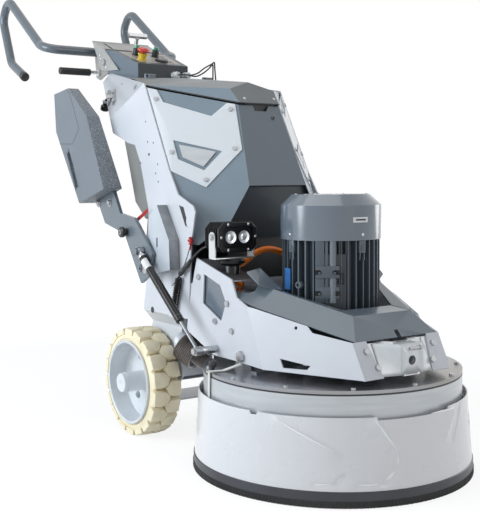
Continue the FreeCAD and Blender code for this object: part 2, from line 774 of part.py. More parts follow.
def make_column():
    side = side_profile(column_front + [(374.5, 440)] + column_rear, -frame_half_width, -column_face)
    slot = side_profile([(422, 818), (411, 811), (367, 743), (377, 748)],
                        -frame_half_width - 1, -column_face + 1)
    side = side.cut(slot).cut(crosswise(5, -frame_half_width - 1, -column_face + 1, 685, 433))
    joggle = slab([Vector(-frame_half_width, 476, 442), Vector(-frame_half_width, 677, 442),
                   Vector(-lower_plate_face, 677, 398), Vector(-lower_plate_face, 476, 398)],
                  plate, Vector(0, 570, 380))
    leg = side_profile([(476, 400), (476, 225), (570, 118), (720, 118), (752, 210), (677, 400)],
                       -lower_plate_face, -lower_plate_face + plate)
    axle_boss = crosswise(44, -lower_plate_face, -lower_plate_face + 14, wheel_y, 191)
    lap = block(-column_face, -column_face + 5, 320, 420, 450, 560)
    neck = slab([Vector(-frame_half_width, 652, 1242), Vector(-frame_half_width, 920, 1133),
                 neck_low, neck_high], plate, cabinet_centre)
    spring_bracket = side_profile([(586, 572), (559, 782), (502, 817), (425, 702), (420, 602)],
                                  -bracket_face, -bracket_face + 5)
    bracket_slot = side_profile([(500, 706), (508, 706), (508, 674), (500, 674)],
                                -bracket_face - 1, -bracket_face + 6)
    rim = folded_strip([(586, 572), (559, 782), (502, 817), (425, 702), (420, 602)], 4.0,
                       -bracket_face, -frame_half_width)
    pivot_washer = crosswise(20, -arm_face + arm_thickness + 0.3, -frame_half_width, arm_pivot_y, arm_pivot_z)
    side = fused([side, joggle, leg, axle_boss, lap, neck, spring_bracket.cut(bracket_slot), rim,
                  pivot_washer])
    side = side.cut(crosswise(axle_radius, -300, -200, wheel_y, 191))
    side = side.cut(crosswise(arm_pin_radius, -400, -frame_half_width, arm_pivot_y, arm_pivot_z))
    rear = folded_strip(column_rear, 3.0, -column_face, column_face)
    neck_back = slab([neck_low, flip(neck_low), Vector(frame_half_width, 920, 1133),
                      Vector(-frame_half_width, 920, 1133)], 3.0, cabinet_centre)
    neck_end = slab([neck_low, neck_high, flip(neck_high), flip(neck_low)], 3.0, cabinet_centre)
    cross = block(-lower_plate_face + plate, lower_plate_face - plate, 476, 481, 225, 440)
    cross = cross.cut(cylinder(cuff_radius - cuff_wall, at_hose_end(-cuff_overlap), at_hose_end(60)))
    low_cross = block(-lower_plate_face + plate, lower_plate_face - plate, 560, 700, 121, 126)
    shelf = block(-column_face, column_face, 380, 640, 440, 444)
    foot = block(-column_face, column_face, 365, 370, 440, 560)
    cuff = cylinder(cuff_radius, at_hose_end(60), at_hose_end(-cuff_overlap))
    cuff_bore = cylinder(cuff_radius - cuff_wall, at_hose_end(60), at_hose_end(-cuff_overlap - 1))
    behind = block(-400, 0, 476, 600, 200, 500)
    cuff = cuff.cut(cuff_bore).cut(behind)
    cord_seat = block(-323, -column_face, 431, 459, 441, curly_end.z)
    knob_point = neck_back_point(column_knob_x, column_knob_y)
    knob_hole = cylinder(side_pin_radius + running_clearance, knob_point.sub(neck_outward() * 30),
                         knob_point.add(neck_outward() * 20))
    knob_seat = cylinder(14, knob_point.sub(neck_outward() * 4), knob_point.add(neck_outward() * knob_seat_height))
    neck_back = fused([neck_back, knob_seat])
    return fused([side, mirrored(side), rear, neck_back, neck_end, cross, low_cross, shelf, foot,
                  cuff, cord_seat,
                  bead(Vector(-column_face, 920, 1133), Vector(column_face, 920, 1133), 2.5, cabinet_centre)]).cut(knob_hole)


column_shape = make_column()


def deck_point(y):
    share = (y - 652.0) / (neck_high.y - 652.0)
    start = Vector(-frame_half_width, 652, 1242)
    return start.add(neck_high.sub(start).multiply(share))


deck_front = 902.0
hood_pin_radius = 4.0
hood_pivot_y = 904.0
hood_pivot_z = deck_point(deck_front).z + 16.0
hinge_x = (-130, 130)
hinge_half = 14.0
cable_feet = (Vector(194, 968, 1302), Vector(198, 952, 1301))


def make_cabinet_cover():
    depth = side_panel_thickness
    outer = cover_plane(depth)
    top_front = meet(front_plane, outer, level(1155))
    low_front = meet(front_plane, outer, level(880))
    side = slab([top_front, low_front, on_cover(282, 761, depth), on_cover(337, 687, depth),
                 meet(outer, across(-column_face), level(690)),
                 meet(outer, across(-column_face), level(1226))], sheet, cabinet_centre)
    front = slab([top_front, low_front, flip(low_front), flip(top_front)], sheet, cabinet_centre)
    notch = polygon([Vector(-27, 330, 1160), Vector(46, 330, 1160), Vector(27, 330, 1135),
                     Vector(-21, 330, 1135)]).extrude(Vector(0, 80, 0))
    front = front.cut(notch)
    front = front.cut(cylinder(5, Vector(49, 330, 1112), Vector(49, 400, 1112)))
    recess_high = meet(outer, along(290), level(876))
    recess_low = meet(outer, along(350), level(700))
    recess = slab([recess_high, recess_low, flip(recess_low), flip(recess_high)], sheet, cabinet_centre)
    deck = slab([deck_point(deck_front), neck_high, flip(neck_high), flip(deck_point(deck_front))], sheet,
                Vector(0, 900, 1000)).cut(column_shape)
    for x in hinge_x:
        for start in (x - hinge_half - 8.3, x + hinge_half + 0.3):
            deck = deck.fuse(block(start, start + 8, hood_pivot_y - 1, hood_pivot_y + 12,
                                   hood_pivot_z - 19, hood_pivot_z + 7))
    deck = deck.cut(crosswise(hood_pin_radius, -200, 200, hood_pivot_y, hood_pivot_z))
    for point in cable_feet:
        deck = deck.fuse(upright(7, deck_point(point.y).z - 2, point.z, point.x, point.y))
    return fused([side, mirrored(side), front, recess, deck])


def make_side_panels():
    outline = [(640, 1226), (611, 1217), (579, 1172), (436, 1118), (410, 1162), (387, 1157), (322, 1002),
               (374, 876), (486, 932)]
    corners = [on_cover(y, z) for y, z in outline]
    corners[0] = meet(cover_plane(), across(-column_face + 0.1), level(1226))
    corners[-1] = meet(cover_plane(), across(-column_face + 0.1), level(932))
    window = [on_cover(y, z, -1.0) for y, z in [(509, 1038), (370, 997), (396, 933), (475, 972)]]
    panel = slab(corners, side_panel_thickness, cabinet_centre)
    panel = panel.cut(slab(window, side_panel_thickness + 2, cabinet_centre))
    return [panel, mirrored(panel)]


hood_sheet = 3.0
hood_rear = 900.0
hood_corner = Vector(-83, 376, 1163)
hood_shoulder = Vector(-93, 420, 1212)
hood_side = Vector(-291, 652, 1236)
hood_front_plane = plane(hood_corner, hood_shoulder, flip(hood_corner))
hood_apex = meet(hood_front_plane, across(0), level(1241))


def hood_body(narrower, lower):
    """The hood's outer form, or the hollow inside it when drawn in and lowered."""
    ridge = Vector(0, 608, 1262)
    rear_corner = deck_point(hood_rear).add(Vector(8, 0, 3))
    rear_low = Vector(0, hood_rear, rear_corner.z)
    rear_middle = Vector(0, hood_rear, rear_corner.z + 12)
    below = Vector(0, 640, 1150)
    front_low = Vector(0, hood_corner.y, hood_corner.z)

    def placed(point):
        share = 1.0 - narrower / 275.0
        return Vector(point.x * share, below.y + (point.y - below.y) * share, point.z - lower)

    facets = [
        [hood_corner, hood_shoulder, hood_side], [hood_shoulder, hood_apex, ridge],
        [hood_shoulder, ridge, hood_side], [hood_side, ridge, rear_middle],
        [hood_side, rear_middle, rear_corner], [rear_middle, rear_corner, rear_low],
        [below, rear_corner, rear_low], [below, hood_side, rear_corner],
        [below, hood_corner, hood_side], [below, front_low, hood_corner]]
    faces = [polygon([placed(hood_corner), placed(hood_shoulder), placed(hood_apex),
                      placed(flip(hood_shoulder)), placed(flip(hood_corner))])]
    for corners in facets:
        faces.append(polygon([placed(point) for point in corners]))
        faces.append(polygon([placed(flip(point)) for point in corners]))
    shell = Part.makeShell(faces)
    shell.sewShape()
    return Part.makeSolid(shell).removeSplitter()


def make_hood():
    knuckles = []
    for x in hinge_x:
        knuckles.append(crosswise(7, x - hinge_half, x + hinge_half, hood_pivot_y, hood_pivot_z))
        knuckles.append(block(x - hinge_half, x + hinge_half, hood_rear - 6, hood_rear + 1,
                              hood_pivot_z - 12, hood_pivot_z + 4))
    body = hood_body(0, 0).cut(hood_body(hood_sheet + 0.2, hood_sheet + 0.2))
    hood = fused([body] + knuckles)
    return hood.cut(crosswise(hood_pin_radius + running_clearance, -200, 200,
                              hood_pivot_y, hood_pivot_z))


def make_rear_tank():
    against_column = [point for point in column_rear if 790 < point[1] <= 1038]
    return side_profile([(796, 1038), (695, 781), (656, 720), (653 - 21 / 11.0, 700)] + against_column, -150, 150)


def make_inverter():
    return block(-120, 120, 400, 600, 444, 760)


# ==== console ============================================================================
console_half_front = 115.0
console_half_rear = 131.0
console_rear_y = 1227.0
panel_front = Vector(0, console_front_y, 1366)
panel_up = Vector(0, -math.sin(console_slope), math.cos(console_slope))
panel_along = Vector(0, math.cos(console_slope), math.sin(console_slope))


def on_panel(x, y):
    """The point of the sloping control panel at this width and length."""
    reach = (y - console_front_y) / math.cos(console_slope)
    return Vector(x, y, 1366 + reach * math.sin(console_slope))


gland_x = (46.0, 96.0)
gland_radius = 12.0
gland_length = 30.0
gland_z = 1326.0


def make_console_box():
    deck_low = deck_point(console_front_y).z
    deck_high = deck_point(1262).z
    rear_top = on_panel(0, console_rear_y).z
    profile = [(console_front_y, deck_low), (console_front_y, 1366), (console_rear_y, rear_top),
               (1290, rear_top + 9), (1308, 1402), (1262, deck_high)]
    body = side_profile(profile, -console_half_rear, console_half_rear)
    taper = (console_half_rear - console_half_front) / (console_rear_y - console_front_y)
    for side in (-1, 1):
        wedge = polygon([Vector(side * console_half_front, console_front_y - 1, 1200),
                         Vector(side * console_half_rear, console_rear_y, 1200),
                         Vector(side * 160, console_rear_y, 1200),
                         Vector(side * 160, console_front_y - 1, 1200)]).extrude(Vector(0, 0, 400))
        body = body.cut(wedge)
    for x in gland_x:
        start = Vector(x, console_front_y, gland_z)
        direction = Vector(0.25, -1, 0).normalize()
        gland = cylinder(gland_radius, start.sub(Vector(direction).multiply(6)),
                         start.add(Vector(direction).multiply(gland_length)))
        body = body.fuse(gland)
    for centre, radius, depth in control_holes():
        body = body.cut(cylinder(radius, centre.sub(Vector(panel_up).multiply(depth)),
                                 centre.add(Vector(panel_up).multiply(5))))
    for side in (-1, 1):
        body = body.cut(crosswise(handle_pin_radius, side * 100, side * 140, handle_pivot_y, handle_pivot_z))
    return body.removeSplitter()


stop_point = on_panel(-66, 1092)
green_left_point = on_panel(-50, 1172)
green_right_point = on_panel(34, 1162)
speed_point = on_panel(20, 1084)
stem_point = on_panel(-32, 1214)
stop_stem = 9.0
green_stem = 8.0
speed_stem = 5.0
t_stem = 6.0
collar_height = 27.0
handle_pin_radius = 8.0
handle_pivot_y = 1290.0
handle_pivot_z = 1396.0


def control_holes():
    return [(stop_point, stop_stem + running_clearance, 32), (green_left_point, green_stem + running_clearance, 24),
            (green_right_point, green_stem + running_clearance, 24),
            (speed_point, speed_stem + running_clearance, 20), (stem_point, t_stem + running_clearance, 60)]


def panel_turned(outline, centre):
    """A closed (radius, height) outline turned about the panel's normal at centre."""
    face = polygon([Vector(r, 0, h) for r, h in outline])
    solid = face.revolve(Vector(0, 0, 0), Vector(0, 0, 1), 360)
    solid.Placement = FreeCAD.Placement(centre, FreeCAD.Rotation(Vector(0, 0, 1), panel_up))
    return solid


def make_emergency_stop():
    return panel_turned([(0, -24), (stop_stem, -24), (stop_stem, 5.5), (16, 5.5), (16, 26), (19, 28),
                         (24, 34), (24, 41), (19, 48), (0, 51)], stop_point)


def make_green_button(point):
    return panel_turned([(0, -20), (green_stem, -20), (green_stem, 3.5), (14, 3.5), (14, collar_height),
                         (button_radius, collar_height), (button_radius, 38), (9, 41), (0, 42)], point)


def make_speed_knob():
    knob = panel_turned([(0, -16), (speed_stem, -16), (speed_stem, 0.3), (26, 0.3), (26, 8), (24, 11), (0, 11)],
                        speed_point)
    return knob


t_bar_length = 82.0
t_stem_height = 64.0
t_travel = 30.0


def make_t_handle():
    stem = panel_turned([(0, -56), (t_stem, -56), (t_stem, 0.3), (12, 0.3), (12, 5), (t_stem, 8),
                         (t_stem, t_stem_height), (0, t_stem_height)], stem_point)
    bar_centre = stem_point.add(Vector(panel_up).multiply(t_stem_height + 6))
    bar = cylinder(11, bar_centre.sub(Vector(t_bar_length / 2, 0, 0)), bar_centre.add(Vector(t_bar_length / 2, 0, 0)))
    return fused([stem, bar])


# ==== handle =============================================================================
handle_points = [(1720, 1368), (1878, 1444), (1975, 1656), (1900, 1737), (1542, 1487)]
handle_bend = 60.0
clamp_x = 84.0
clamp_plate = 8.0
cheek_outer = console_half_rear + 0.3 + 4.0


def make_handlebars():
    left = [Vector(-handle_half_width, y, z) for y, z in handle_points]
    middle_points = [Vector(-handle_half_width, 1462, 1461), Vector(-104, handle_bar_y - 6, handle_bar_z)]
    half = left + middle_points
    path = rounded_path(half + [flip(point) for point in reversed(half)], handle_bend)
    return swept(path, handle_tube_radius).cut(swept(path, handle_tube_radius - handle_tube_wall))


lever_rod_radius = 9.0
lever_grip_radius = 15.0


def make_handle_carrier():
    cheek_outline = [(1403, 1497), (1315, 1362), (1165, 1352), (1290, 1451)]
    cheek = side_profile(cheek_outline, -cheek_outer, -cheek_outer + 4)
    cheek = cheek.cut(crosswise(handle_pin_radius + running_clearance, -150, -100,
                                handle_pivot_y, handle_pivot_z))
    inside = Vector(0, 1300, 1380)
    back = slab([Vector(-cheek_outer, 1403, 1497), Vector(cheek_outer, 1403, 1497),
                 Vector(cheek_outer, 1315, 1362), Vector(-cheek_outer, 1315, 1362)], 4.0, inside)
    top = slab([Vector(-cheek_outer, 1403, 1497), Vector(cheek_outer, 1403, 1497),
                Vector(cheek_outer, 1294, 1453), Vector(-cheek_outer, 1294, 1453)], 4.0, inside)
    slot = block(-96, -84, 1300, 1385, 1430, 1520)
    top = top.cut(slot)
    clamps = []
    for side in (-1, 1):
        outline = [(1386, 1476), (1440, 1487), (1468, 1462), (1466, 1430), (1456, 1350), (1425, 1338),
                   (1317, 1371)]
        clamps.append(side_profile(outline, side * clamp_x, side * (clamp_x + clamp_plate)))
    tube_hole = crosswise(handle_tube_radius, -cheek_outer, cheek_outer, handle_bar_y - 6, handle_bar_z)
    lever_hole = crosswise(lever_rod_radius + running_clearance, -cheek_outer - 1, 0, lever_y - 8, lever_z)
    carrier = fused([cheek, mirrored(cheek), back, top] + clamps)
    return carrier.cut(tube_hole).cut(lever_hole)


def make_release_lever():
    y = lever_y - 8
    rod = crosswise(lever_rod_radius, -40, -170, y, lever_z)
    grip = crosswise(lever_grip_radius, -137, -277, y, lever_z)
    collar = crosswise(14, -clamp_x - clamp_plate - 0.3, -clamp_x - clamp_plate - 10, y, lever_z)
    return fused([rod, grip, collar])


# ==== wheels =============================================================================
tyre_inner_face = tyre_outer_face - tyre_width


def make_tyre():
    profile = [(-tyre_outer_face, rim_radius), (-tyre_outer_face, tyre_radius - 12),
               (-tyre_outer_face + 10, tyre_radius), (-tyre_inner_face - 10, tyre_radius),
               (-tyre_inner_face, tyre_radius - 12), (-tyre_inner_face, rim_radius)]
    return turned_crosswise(profile, wheel_y, tyre_radius)


def make_wheel():
    out, inn = -tyre_outer_face, -tyre_inner_face
    profile = [(inn, rim_radius), (out, rim_radius), (out - 6, rim_radius + 2), (out - 9, rim_radius - 1),
               (out - 6, rim_radius - 8), (out + 56, rim_radius - 14), (out + 66, 104), (out + 66, hub_radius + 12),
               (out + 60, hub_radius), (out - 17, hub_radius), (out - 17, axle_radius + running_clearance),
               (-lower_plate_face - 4.3, axle_radius + running_clearance), (-lower_plate_face - 4.3, hub_radius),
               (out + 76, hub_radius + 8), (out + 76, 112), (inn, rim_radius - 8)]
    wheel = turned_crosswise(profile, wheel_y, tyre_radius)
    return wheel


def make_axle():
    end = tyre_outer_face + 17.3
    bar = crosswise(axle_radius, -end, end, wheel_y, tyre_radius)
    pieces = [bar]
    for side in (-1, 1):
        pieces.append(crosswise(30, side * lower_plate_face, side * (lower_plate_face + 4), wheel_y, tyre_radius))
        pieces.append(crosswise(29, side * end, side * (end + 5), wheel_y, tyre_radius))
        pieces.append(hexagon_head(Vector(side * (end + 5), wheel_y, tyre_radius), Vector(side, 0, 0), 30, 9))
    return fused(pieces)


# ==== folding weights ====================================================================
arm_outline = [(935, 845), (955, 890), (815, 925), (794, 868), (742, 785), (636, 770), (586, 726), (511, 651),
               (541, 572), (592, 545), (709, 711), (864, 746)]
arm_knob_y = 695.0
arm_knob_z = 719.0
plunger_radius = 6.0


def make_weight_arm():
    arm = side_profile(arm_outline, -arm_face, -arm_face + arm_thickness)
    stud = crosswise(8, -arm_face, -spring_face - spring_eye_thickness / 2 - 0.3, spring_top_y, spring_top_z)
    stud_head = crosswise(13, -spring_face - spring_eye_thickness / 2 - 0.3,
                          -spring_face - spring_eye_thickness / 2 - 6, spring_top_y, spring_top_z)
    washer = crosswise(12, -arm_face, -spring_face + spring_eye_thickness / 2 + 0.3, spring_top_y, spring_top_z)
    arm = fused([arm, stud, stud_head, washer])
    arm = arm.cut(crosswise(arm_pin_radius + running_clearance, -400, -300, arm_pivot_y, arm_pivot_z))
    return arm.cut(crosswise(plunger_radius + running_clearance, -400, -300, arm_knob_y, arm_knob_z))


def make_weight():
    outline = [(1220, 1246), (1085, 1259), (917, 1141), (762, 872), (966, 818), (1135, 1024), (1194, 1096)]
    block_solid = side_profile(outline, -spring_face - 60, -spring_face + 60)
    centre = -372.0
    wedge = polygon([Vector(centre - block_bottom_half, 700, 815), Vector(centre + block_bottom_half, 700, 815),
                     Vector(centre + block_top_half, 700, 1262), Vector(centre - block_top_half, 700, 1262)])
    block_solid = block_solid.common(wedge.extrude(Vector(0, 600, 0)))
    pocket = side_profile(arm_outline, -arm_face, -arm_face + arm_thickness)
    finger_slot = side_profile([(1084, 1008), (1066, 1020), (981, 885), (999, 873)], -430, -386)
    return block_solid.cut(pocket).cut(finger_slot)


def make_arm_knob():
    pin = crosswise(plunger_radius, -arm_face + arm_thickness, -arm_face - 14, arm_knob_y, arm_knob_z)
    knob = turned_crosswise([(-arm_face - 0.3, 0), (-arm_face - 0.3, 13), (-arm_face - 10, 13), (-arm_face - 13, 19),
                             (-arm_face - 23, 19), (-arm_face - 26, 15), (-arm_face - 26, 0)],
                            arm_knob_y, arm_knob_z)
    return fused([pin, knob])


spring_direction = Vector(0, spring_foot_y - spring_top_y, spring_foot_z - spring_top_z)
spring_length = spring_direction.Length
spring_direction.normalize()
cylinder_length = 341.0
rod_inside = 150.0


def on_spring(distance):
    return Vector(-spring_face, spring_top_y, spring_top_z).add(Vector(spring_direction).multiply(distance))


def make_gas_cylinder():
    half = spring_eye_thickness / 2
    eye = crosswise(15, -spring_face - half, -spring_face + half, spring_top_y, spring_top_z)
    neck = cylinder(9, on_spring(5), on_spring(26))
    body = cylinder(cylinder_radius, on_spring(24), on_spring(cylinder_length))
    solid = fused([eye, neck, body])
    solid = solid.cut(crosswise(8 + running_clearance, -420, -340, spring_top_y, spring_top_z))
    bore = cylinder(rod_radius + running_clearance, on_spring(60), on_spring(cylinder_length + 5))
    return solid.cut(bore)


def make_gas_rod():
    half = spring_eye_thickness / 2
    rod = cylinder(rod_radius, on_spring(cylinder_length - rod_inside), on_spring(spring_length - 5))
    eye = crosswise(14, -spring_face - half, -spring_face + half - 0.2, spring_foot_y, spring_foot_z)
    head = hexagon_head(Vector(-spring_face - half, spring_foot_y, spring_foot_z), Vector(-1, 0, 0), 19, 8)
    return fused([rod, eye, head])


spring_boss_face = spring_face - spring_eye_thickness / 2 - 0.1


def make_frame_bolts():
    """Pins and bolts that stay with the frame, each one a solid of its own."""
    pieces = []
    for x in hinge_x:
        pieces.append(crosswise(hood_pin_radius, x - hinge_half - 8, x + hinge_half + 8,
                                hood_pivot_y, hood_pivot_z))
    for side in (-1, 1):
        def at(x, y, z):
            return Vector(side * x, y, z)
        pin = cylinder(hinge_pin_radius, at(frame_half_width - 20, hinge_y, hinge_z),
                       at(frame_half_width, hinge_y, hinge_z))
        head = hexagon_head(at(frame_half_width, hinge_y, hinge_z), Vector(side, 0, 0), 30, 12)
        pieces.append(fused([pin, head]))
        for y, z in ((145, 530), (113, 433), (301, 586), (205, 453)):
            if (y, z) == (145, 530):
                y, z = 136, 516
            pieces.append(hexagon_head(at(frame_half_width, y, z), Vector(side, 0, 0), 17, 7))
        pivot = cylinder(arm_pin_radius, at(frame_half_width, arm_pivot_y, arm_pivot_z),
                         at(arm_face + 0.3, arm_pivot_y, arm_pivot_z))
        pivot_head = cylinder(19, at(arm_face + 0.3, arm_pivot_y, arm_pivot_z),
                              at(arm_face + 3, arm_pivot_y, arm_pivot_z))
        pieces.append(fused([pivot, pivot_head]))
        boss = cylinder(12, at(frame_half_width, spring_foot_y, spring_foot_z),
                        at(spring_boss_face, spring_foot_y, spring_foot_z))
        pieces.append(boss)
        handle_pin = cylinder(handle_pin_radius, at(110, handle_pivot_y, handle_pivot_z),
                              at(cheek_outer + 0.3, handle_pivot_y, handle_pivot_z))
        handle_head = hexagon_head(at(cheek_outer + 0.3, handle_pivot_y, handle_pivot_z),
                                   Vector(side, 0, 0), 24, 8)
        pieces.append(fused([handle_pin, handle_head]))
        outward = Vector(cover_normal.x * -side, cover_normal.y, cover_normal.z)
        for y, z in ((602, 1183), (393, 1138), (342, 1004), (382, 900), (500, 995)):
            point = on_cover(y, z)
            point = Vector(-side * point.x, point.y, point.z)
            pieces.append(hexagon_head(point, outward, 14, 5))
        flange_normal = Vector(0, -(nose_top - chassis_bottom), nose_top_y - nose_front)
        flange_normal = Vector(0, -(nose_top - chassis_bottom), (nose_top_y - nose_front)).normalize()
        for x, z in ((131, 411), (108, 367)):
            y = nose_front + (z - chassis_bottom) * (nose_top_y - nose_front) / (nose_top - chassis_bottom)
            pieces.append(hexagon_head(at(x, y, z), flange_normal, 17, 7))
    return pieces


lid_bolt_start = -38.0
lid_bolt_count = 13
strap_width = 18.0
strap_thickness = 2.5
strap_side = Vector(0.256, 0.967, 0)
strap_line = [Vector(-304, 60, 341), Vector(-350, 86, 322), Vector(-396, 98, 322), Vector(-396, 101, 236)]


def make_lid_hardware():
    """Bolts, the lifting strap and a hand knob, each one a solid of its own."""
    pieces = []
    for k in range(lid_bolt_count):
        angle = math.radians(lid_bolt_start + 360.0 / lid_bolt_count * k)
        pieces.append(hexagon_head(Vector(391 * math.cos(angle), 391 * math.sin(angle), lid_top),
                                   Vector(0, 0, 1), 13, 6))
    for k in range(8):
        angle = math.radians(22.5 + 45 * k)
        pieces.append(hexagon_head(Vector(motor_bolt_circle * math.cos(angle), motor_bolt_circle * math.sin(angle),
                                          motor_flange_top),
                                   Vector(0, 0, 1), 22, 12))
    half = strap_side * (strap_width / 2)
    runs = []
    for start, end in zip(strap_line, strap_line[1:]):
        runs.append(slab([start.sub(half), end.sub(half), end.add(half), start.add(half)],
                         strap_thickness, Vector(-300, 80, 200)))
    runs.append(block(-400, -372, 89, 107, lid_top, lid_top + 3))
    pieces.append(fused(runs))
    knob = revolved([(0, lid_top), (7, lid_top), (7, lid_top + 8), (13, lid_top + 10), (13, lid_top + 26),
                     (10, lid_top + 29), (0, lid_top + 29)], -362, 128)
    pieces.append(knob)
    return pieces


def make_column_knob():
    point = neck_back_point(column_knob_x, column_knob_y).add(neck_outward() * knob_seat_height)
    solid = polygon([Vector(0, 0, -14), Vector(side_pin_radius, 0, -14), Vector(side_pin_radius, 0, 0.4),
                     Vector(11, 0, 0.4), Vector(11, 0, 10), Vector(17, 0, 14),
                     Vector(17, 0, 30), Vector(12, 0, 34), Vector(0, 0, 34)]).revolve(
                         Vector(0, 0, 0), Vector(0, 0, 1), 360)
    solid.Placement = FreeCAD.Placement(point, FreeCAD.Rotation(Vector(0, 0, 1), neck_outward()))
    return solid


# ==== work lamp ==========================================================================
lamp_foot_top = 630.0
lamp_arm = 4.0
lamp_centre_z = lamp_foot_top + lamp_pivot_height
lamp_yaw = 0.0


def lamp_placed(shape):
    shape.rotate(Vector(0, 0, 0), Vector(0, 0, 1), lamp_yaw)
    shape.translate(Vector(lamp_x, lamp_y, 0))
    return shape


def make_lamp_seat():
    return upright(26, 596, lamp_foot_top, lamp_x, lamp_y)


def make_lamp_bracket():
    half = lamp_width / 2 + 0.3
    base = upright(30, lamp_foot_top, lamp_foot_top + 8)
    strap = block(-half - lamp_arm, half + lamp_arm, -14, 14, lamp_foot_top + 8, lamp_foot_top + 12)
    pieces = [base, strap]
    for side in (-1, 1):
        pieces.append(block(side * half, side * (half + lamp_arm), -14, 14, lamp_foot_top + 8, lamp_centre_z + 14))
        pieces.append(crosswise(5, side * (half - 10), side * (half + lamp_arm), 0, lamp_centre_z))
    return lamp_placed(fused(pieces))


def make_lamp_head():
    half = lamp_width / 2
    body = block(-half, half, -lamp_depth / 2, lamp_depth / 2, lamp_centre_z - lamp_height / 2,
                 lamp_centre_z + lamp_height / 2)
    edges = [edge for edge in body.Edges if abs(edge.tangentAt(0).y) > 0.9]
    body = body.makeChamfer(12, edges)
    body = body.cut(crosswise(5 + running_clearance, -half - 1, -half + 12, 0, lamp_centre_z))
    body = body.cut(crosswise(5 + running_clearance, half - 12, half + 1, 0, lamp_centre_z))
    return lamp_placed(body)


# ==== hose and cords =====================================================================
def make_dust_hose():
    """The hose sits on the head's port and ends loose inside the wide cuff on the column."""
    start = at_port(dust_port_reach - 15)
    path = rounded_path([start, hose_corner, hose_end], 60)
    return swept(path, hose_radius).cut(swept(path, dust_port_radius))


cable_tops = ([Vector(110, 948, 1346), Vector(152, 950, 1382), Vector(190, 954, 1390), Vector(222, 962, 1356)],
              [Vector(140, 946, 1340), Vector(170, 940, 1370), Vector(206, 942, 1378), Vector(230, 948, 1346)])
console_cable_radius = 2.5
lamp_cable_radius = 3.5
curly_radius = 11.0
motor_cable_radius = 7.5


def gland_end(x, further=0.0):
    direction = Vector(0.25, -1, 0).normalize()
    return Vector(x, console_front_y, gland_z).add(direction.multiply(gland_length + further))


def make_console_cables():
    solids = []
    for x, top, foot in zip(gland_x, cable_tops, cable_feet):
        points = [gland_end(x), gland_end(x, 44)] + top + [foot.sub(Vector(0, 0, 3))]
        cable = cord("console cable", points, console_cable_radius)
        solids.append(cable.cut(upright(12, foot.z - 10, foot.z, foot.x, foot.y)))
    return solids


def make_lamp_cable():
    plug_start = Vector(-312, 330, 640)
    plug_end = Vector(-314, 400, 586)
    line = plug_end.sub(plug_start).normalize()
    points = [Vector(-290, lamp_y + lamp_depth / 2 + 0.1, 692), Vector(-290, 256, 692),
              plug_start.sub(Vector(line).multiply(50)), plug_start]
    return [cord("lamp cable", points, lamp_cable_radius), cylinder(9, plug_start, plug_end)]


def make_curly_cord():
    points = [Vector(-314, 403, 580.5), Vector(-313, 424, 530), curly_end.sub(Vector(0, -1, 5))]
    cable = cord("curly cord", points, curly_radius)
    return cable.cut(block(-340, -290, 420, 480, 430, curly_end.z))


def make_motor_cable():
    box_side = Vector(-0.766, 0.643, 0)
    start = Vector(0.643, 0.766, 0).multiply(170).add(Vector(box_side).multiply(62.1)).add(Vector(0, 0, 645))
    points = [start, start.add(Vector(box_side).multiply(70)), Vector(-90, 236, 662), Vector(-158, 218, 636),
              Vector(-192, 212, 592), Vector(-212, 236, 546), Vector(-224, 305, 507)]
    cable = cord("motor cable", points, motor_cable_radius)
    return cable.cut(block(-300, -100, bulkhead_y, bulkhead_y + 20, 400, 600))


# ==== export =============================================================================
origin_y = 771.4


def export(name, shapes):
    pieces = shapes if isinstance(shapes, list) else [shapes]
    compound = Part.makeCompound(pieces) if len(pieces) > 1 else pieces[0]
    compound = compound.copy()
    compound.translate(Vector(0, -origin_y, 0))
    box = compound.BoundBox
    print(name, "solids", len(compound.Solids), "valid", compound.isValid(),
          "size", round(box.XLength), round(box.YLength), round(box.ZLength))
    compound.exportStep("parts/" + name + ".step")


def export_pair(name, shape):
    export(name + "_left", shape)
    export(name + "_right", mirrored(shape))


export("skirt_shell", make_skirt_shell())
export("skirt_band", make_skirt_band())
export("skirt_brush", make_skirt_brush())
export("drum", make_drum())
export("lid_gasket", make_gasket())
export("head_lid", make_head_lid())
export("lid_hardware", make_lid_hardware())
export("motor_stator", make_motor_stator())
export("motor_cowl", make_motor_cowl())
export("motor_shaft", make_motor_shaft())
export("motor_fan", make_motor_fan())
export("planet_disc", make_planet_disc())
for number in range(planet_count):
    export("spindle_" + str(number + 1), make_spindle(number))
    export("tool_plate_" + str(number + 1), make_tool_plate(number))
export("chassis", fused([chassis_shape, make_lamp_seat(), mirrored(make_lamp_seat())]))
export("front_bracket", make_front_bracket())
export("motor_guard", make_motor_guard())
export("column", column_shape)
export("axle", make_axle())
export("cabinet_cover", make_cabinet_cover())
export("side_panels", make_side_panels())
export("rear_tank", make_rear_tank())
export("frame_bolts", make_frame_bolts())
export("inverter", make_inverter())
export("dust_hose", make_dust_hose())
export("console_box", make_console_box())
export("hood", make_hood())
export_pair("tyre", make_tyre())
export_pair("wheel", make_wheel())
export_pair("weight", make_weight())
export_pair("weight_arm", make_weight_arm())
export_pair("gas_cylinder", make_gas_cylinder())
export_pair("gas_rod", make_gas_rod())
export_pair("arm_knob", make_arm_knob())
export("lamp_bracket", make_lamp_bracket())
export("lamp_head", make_lamp_head())
export("handle_carrier", make_handle_carrier())
export("handlebars", make_handlebars())
export("release_lever", make_release_lever())
export("emergency_stop", make_emergency_stop())
export("green_button_left", make_green_button(green_left_point))
export("green_button_right", make_green_button(green_right_point))
export("speed_knob", make_speed_knob())
export("t_handle", make_t_handle())
export("column_knob", make_column_knob())
export("console_cables", make_console_cables())
export("lamp_cable", make_lamp_cable())
export("curly_cord", make_curly_cord())
export("motor_cable", make_motor_cable())
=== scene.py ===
import bpy
import bmesh
from math import atan2, cos, degrees, hypot, pi, radians, sin, tan
from mathutils import Matrix, Vector


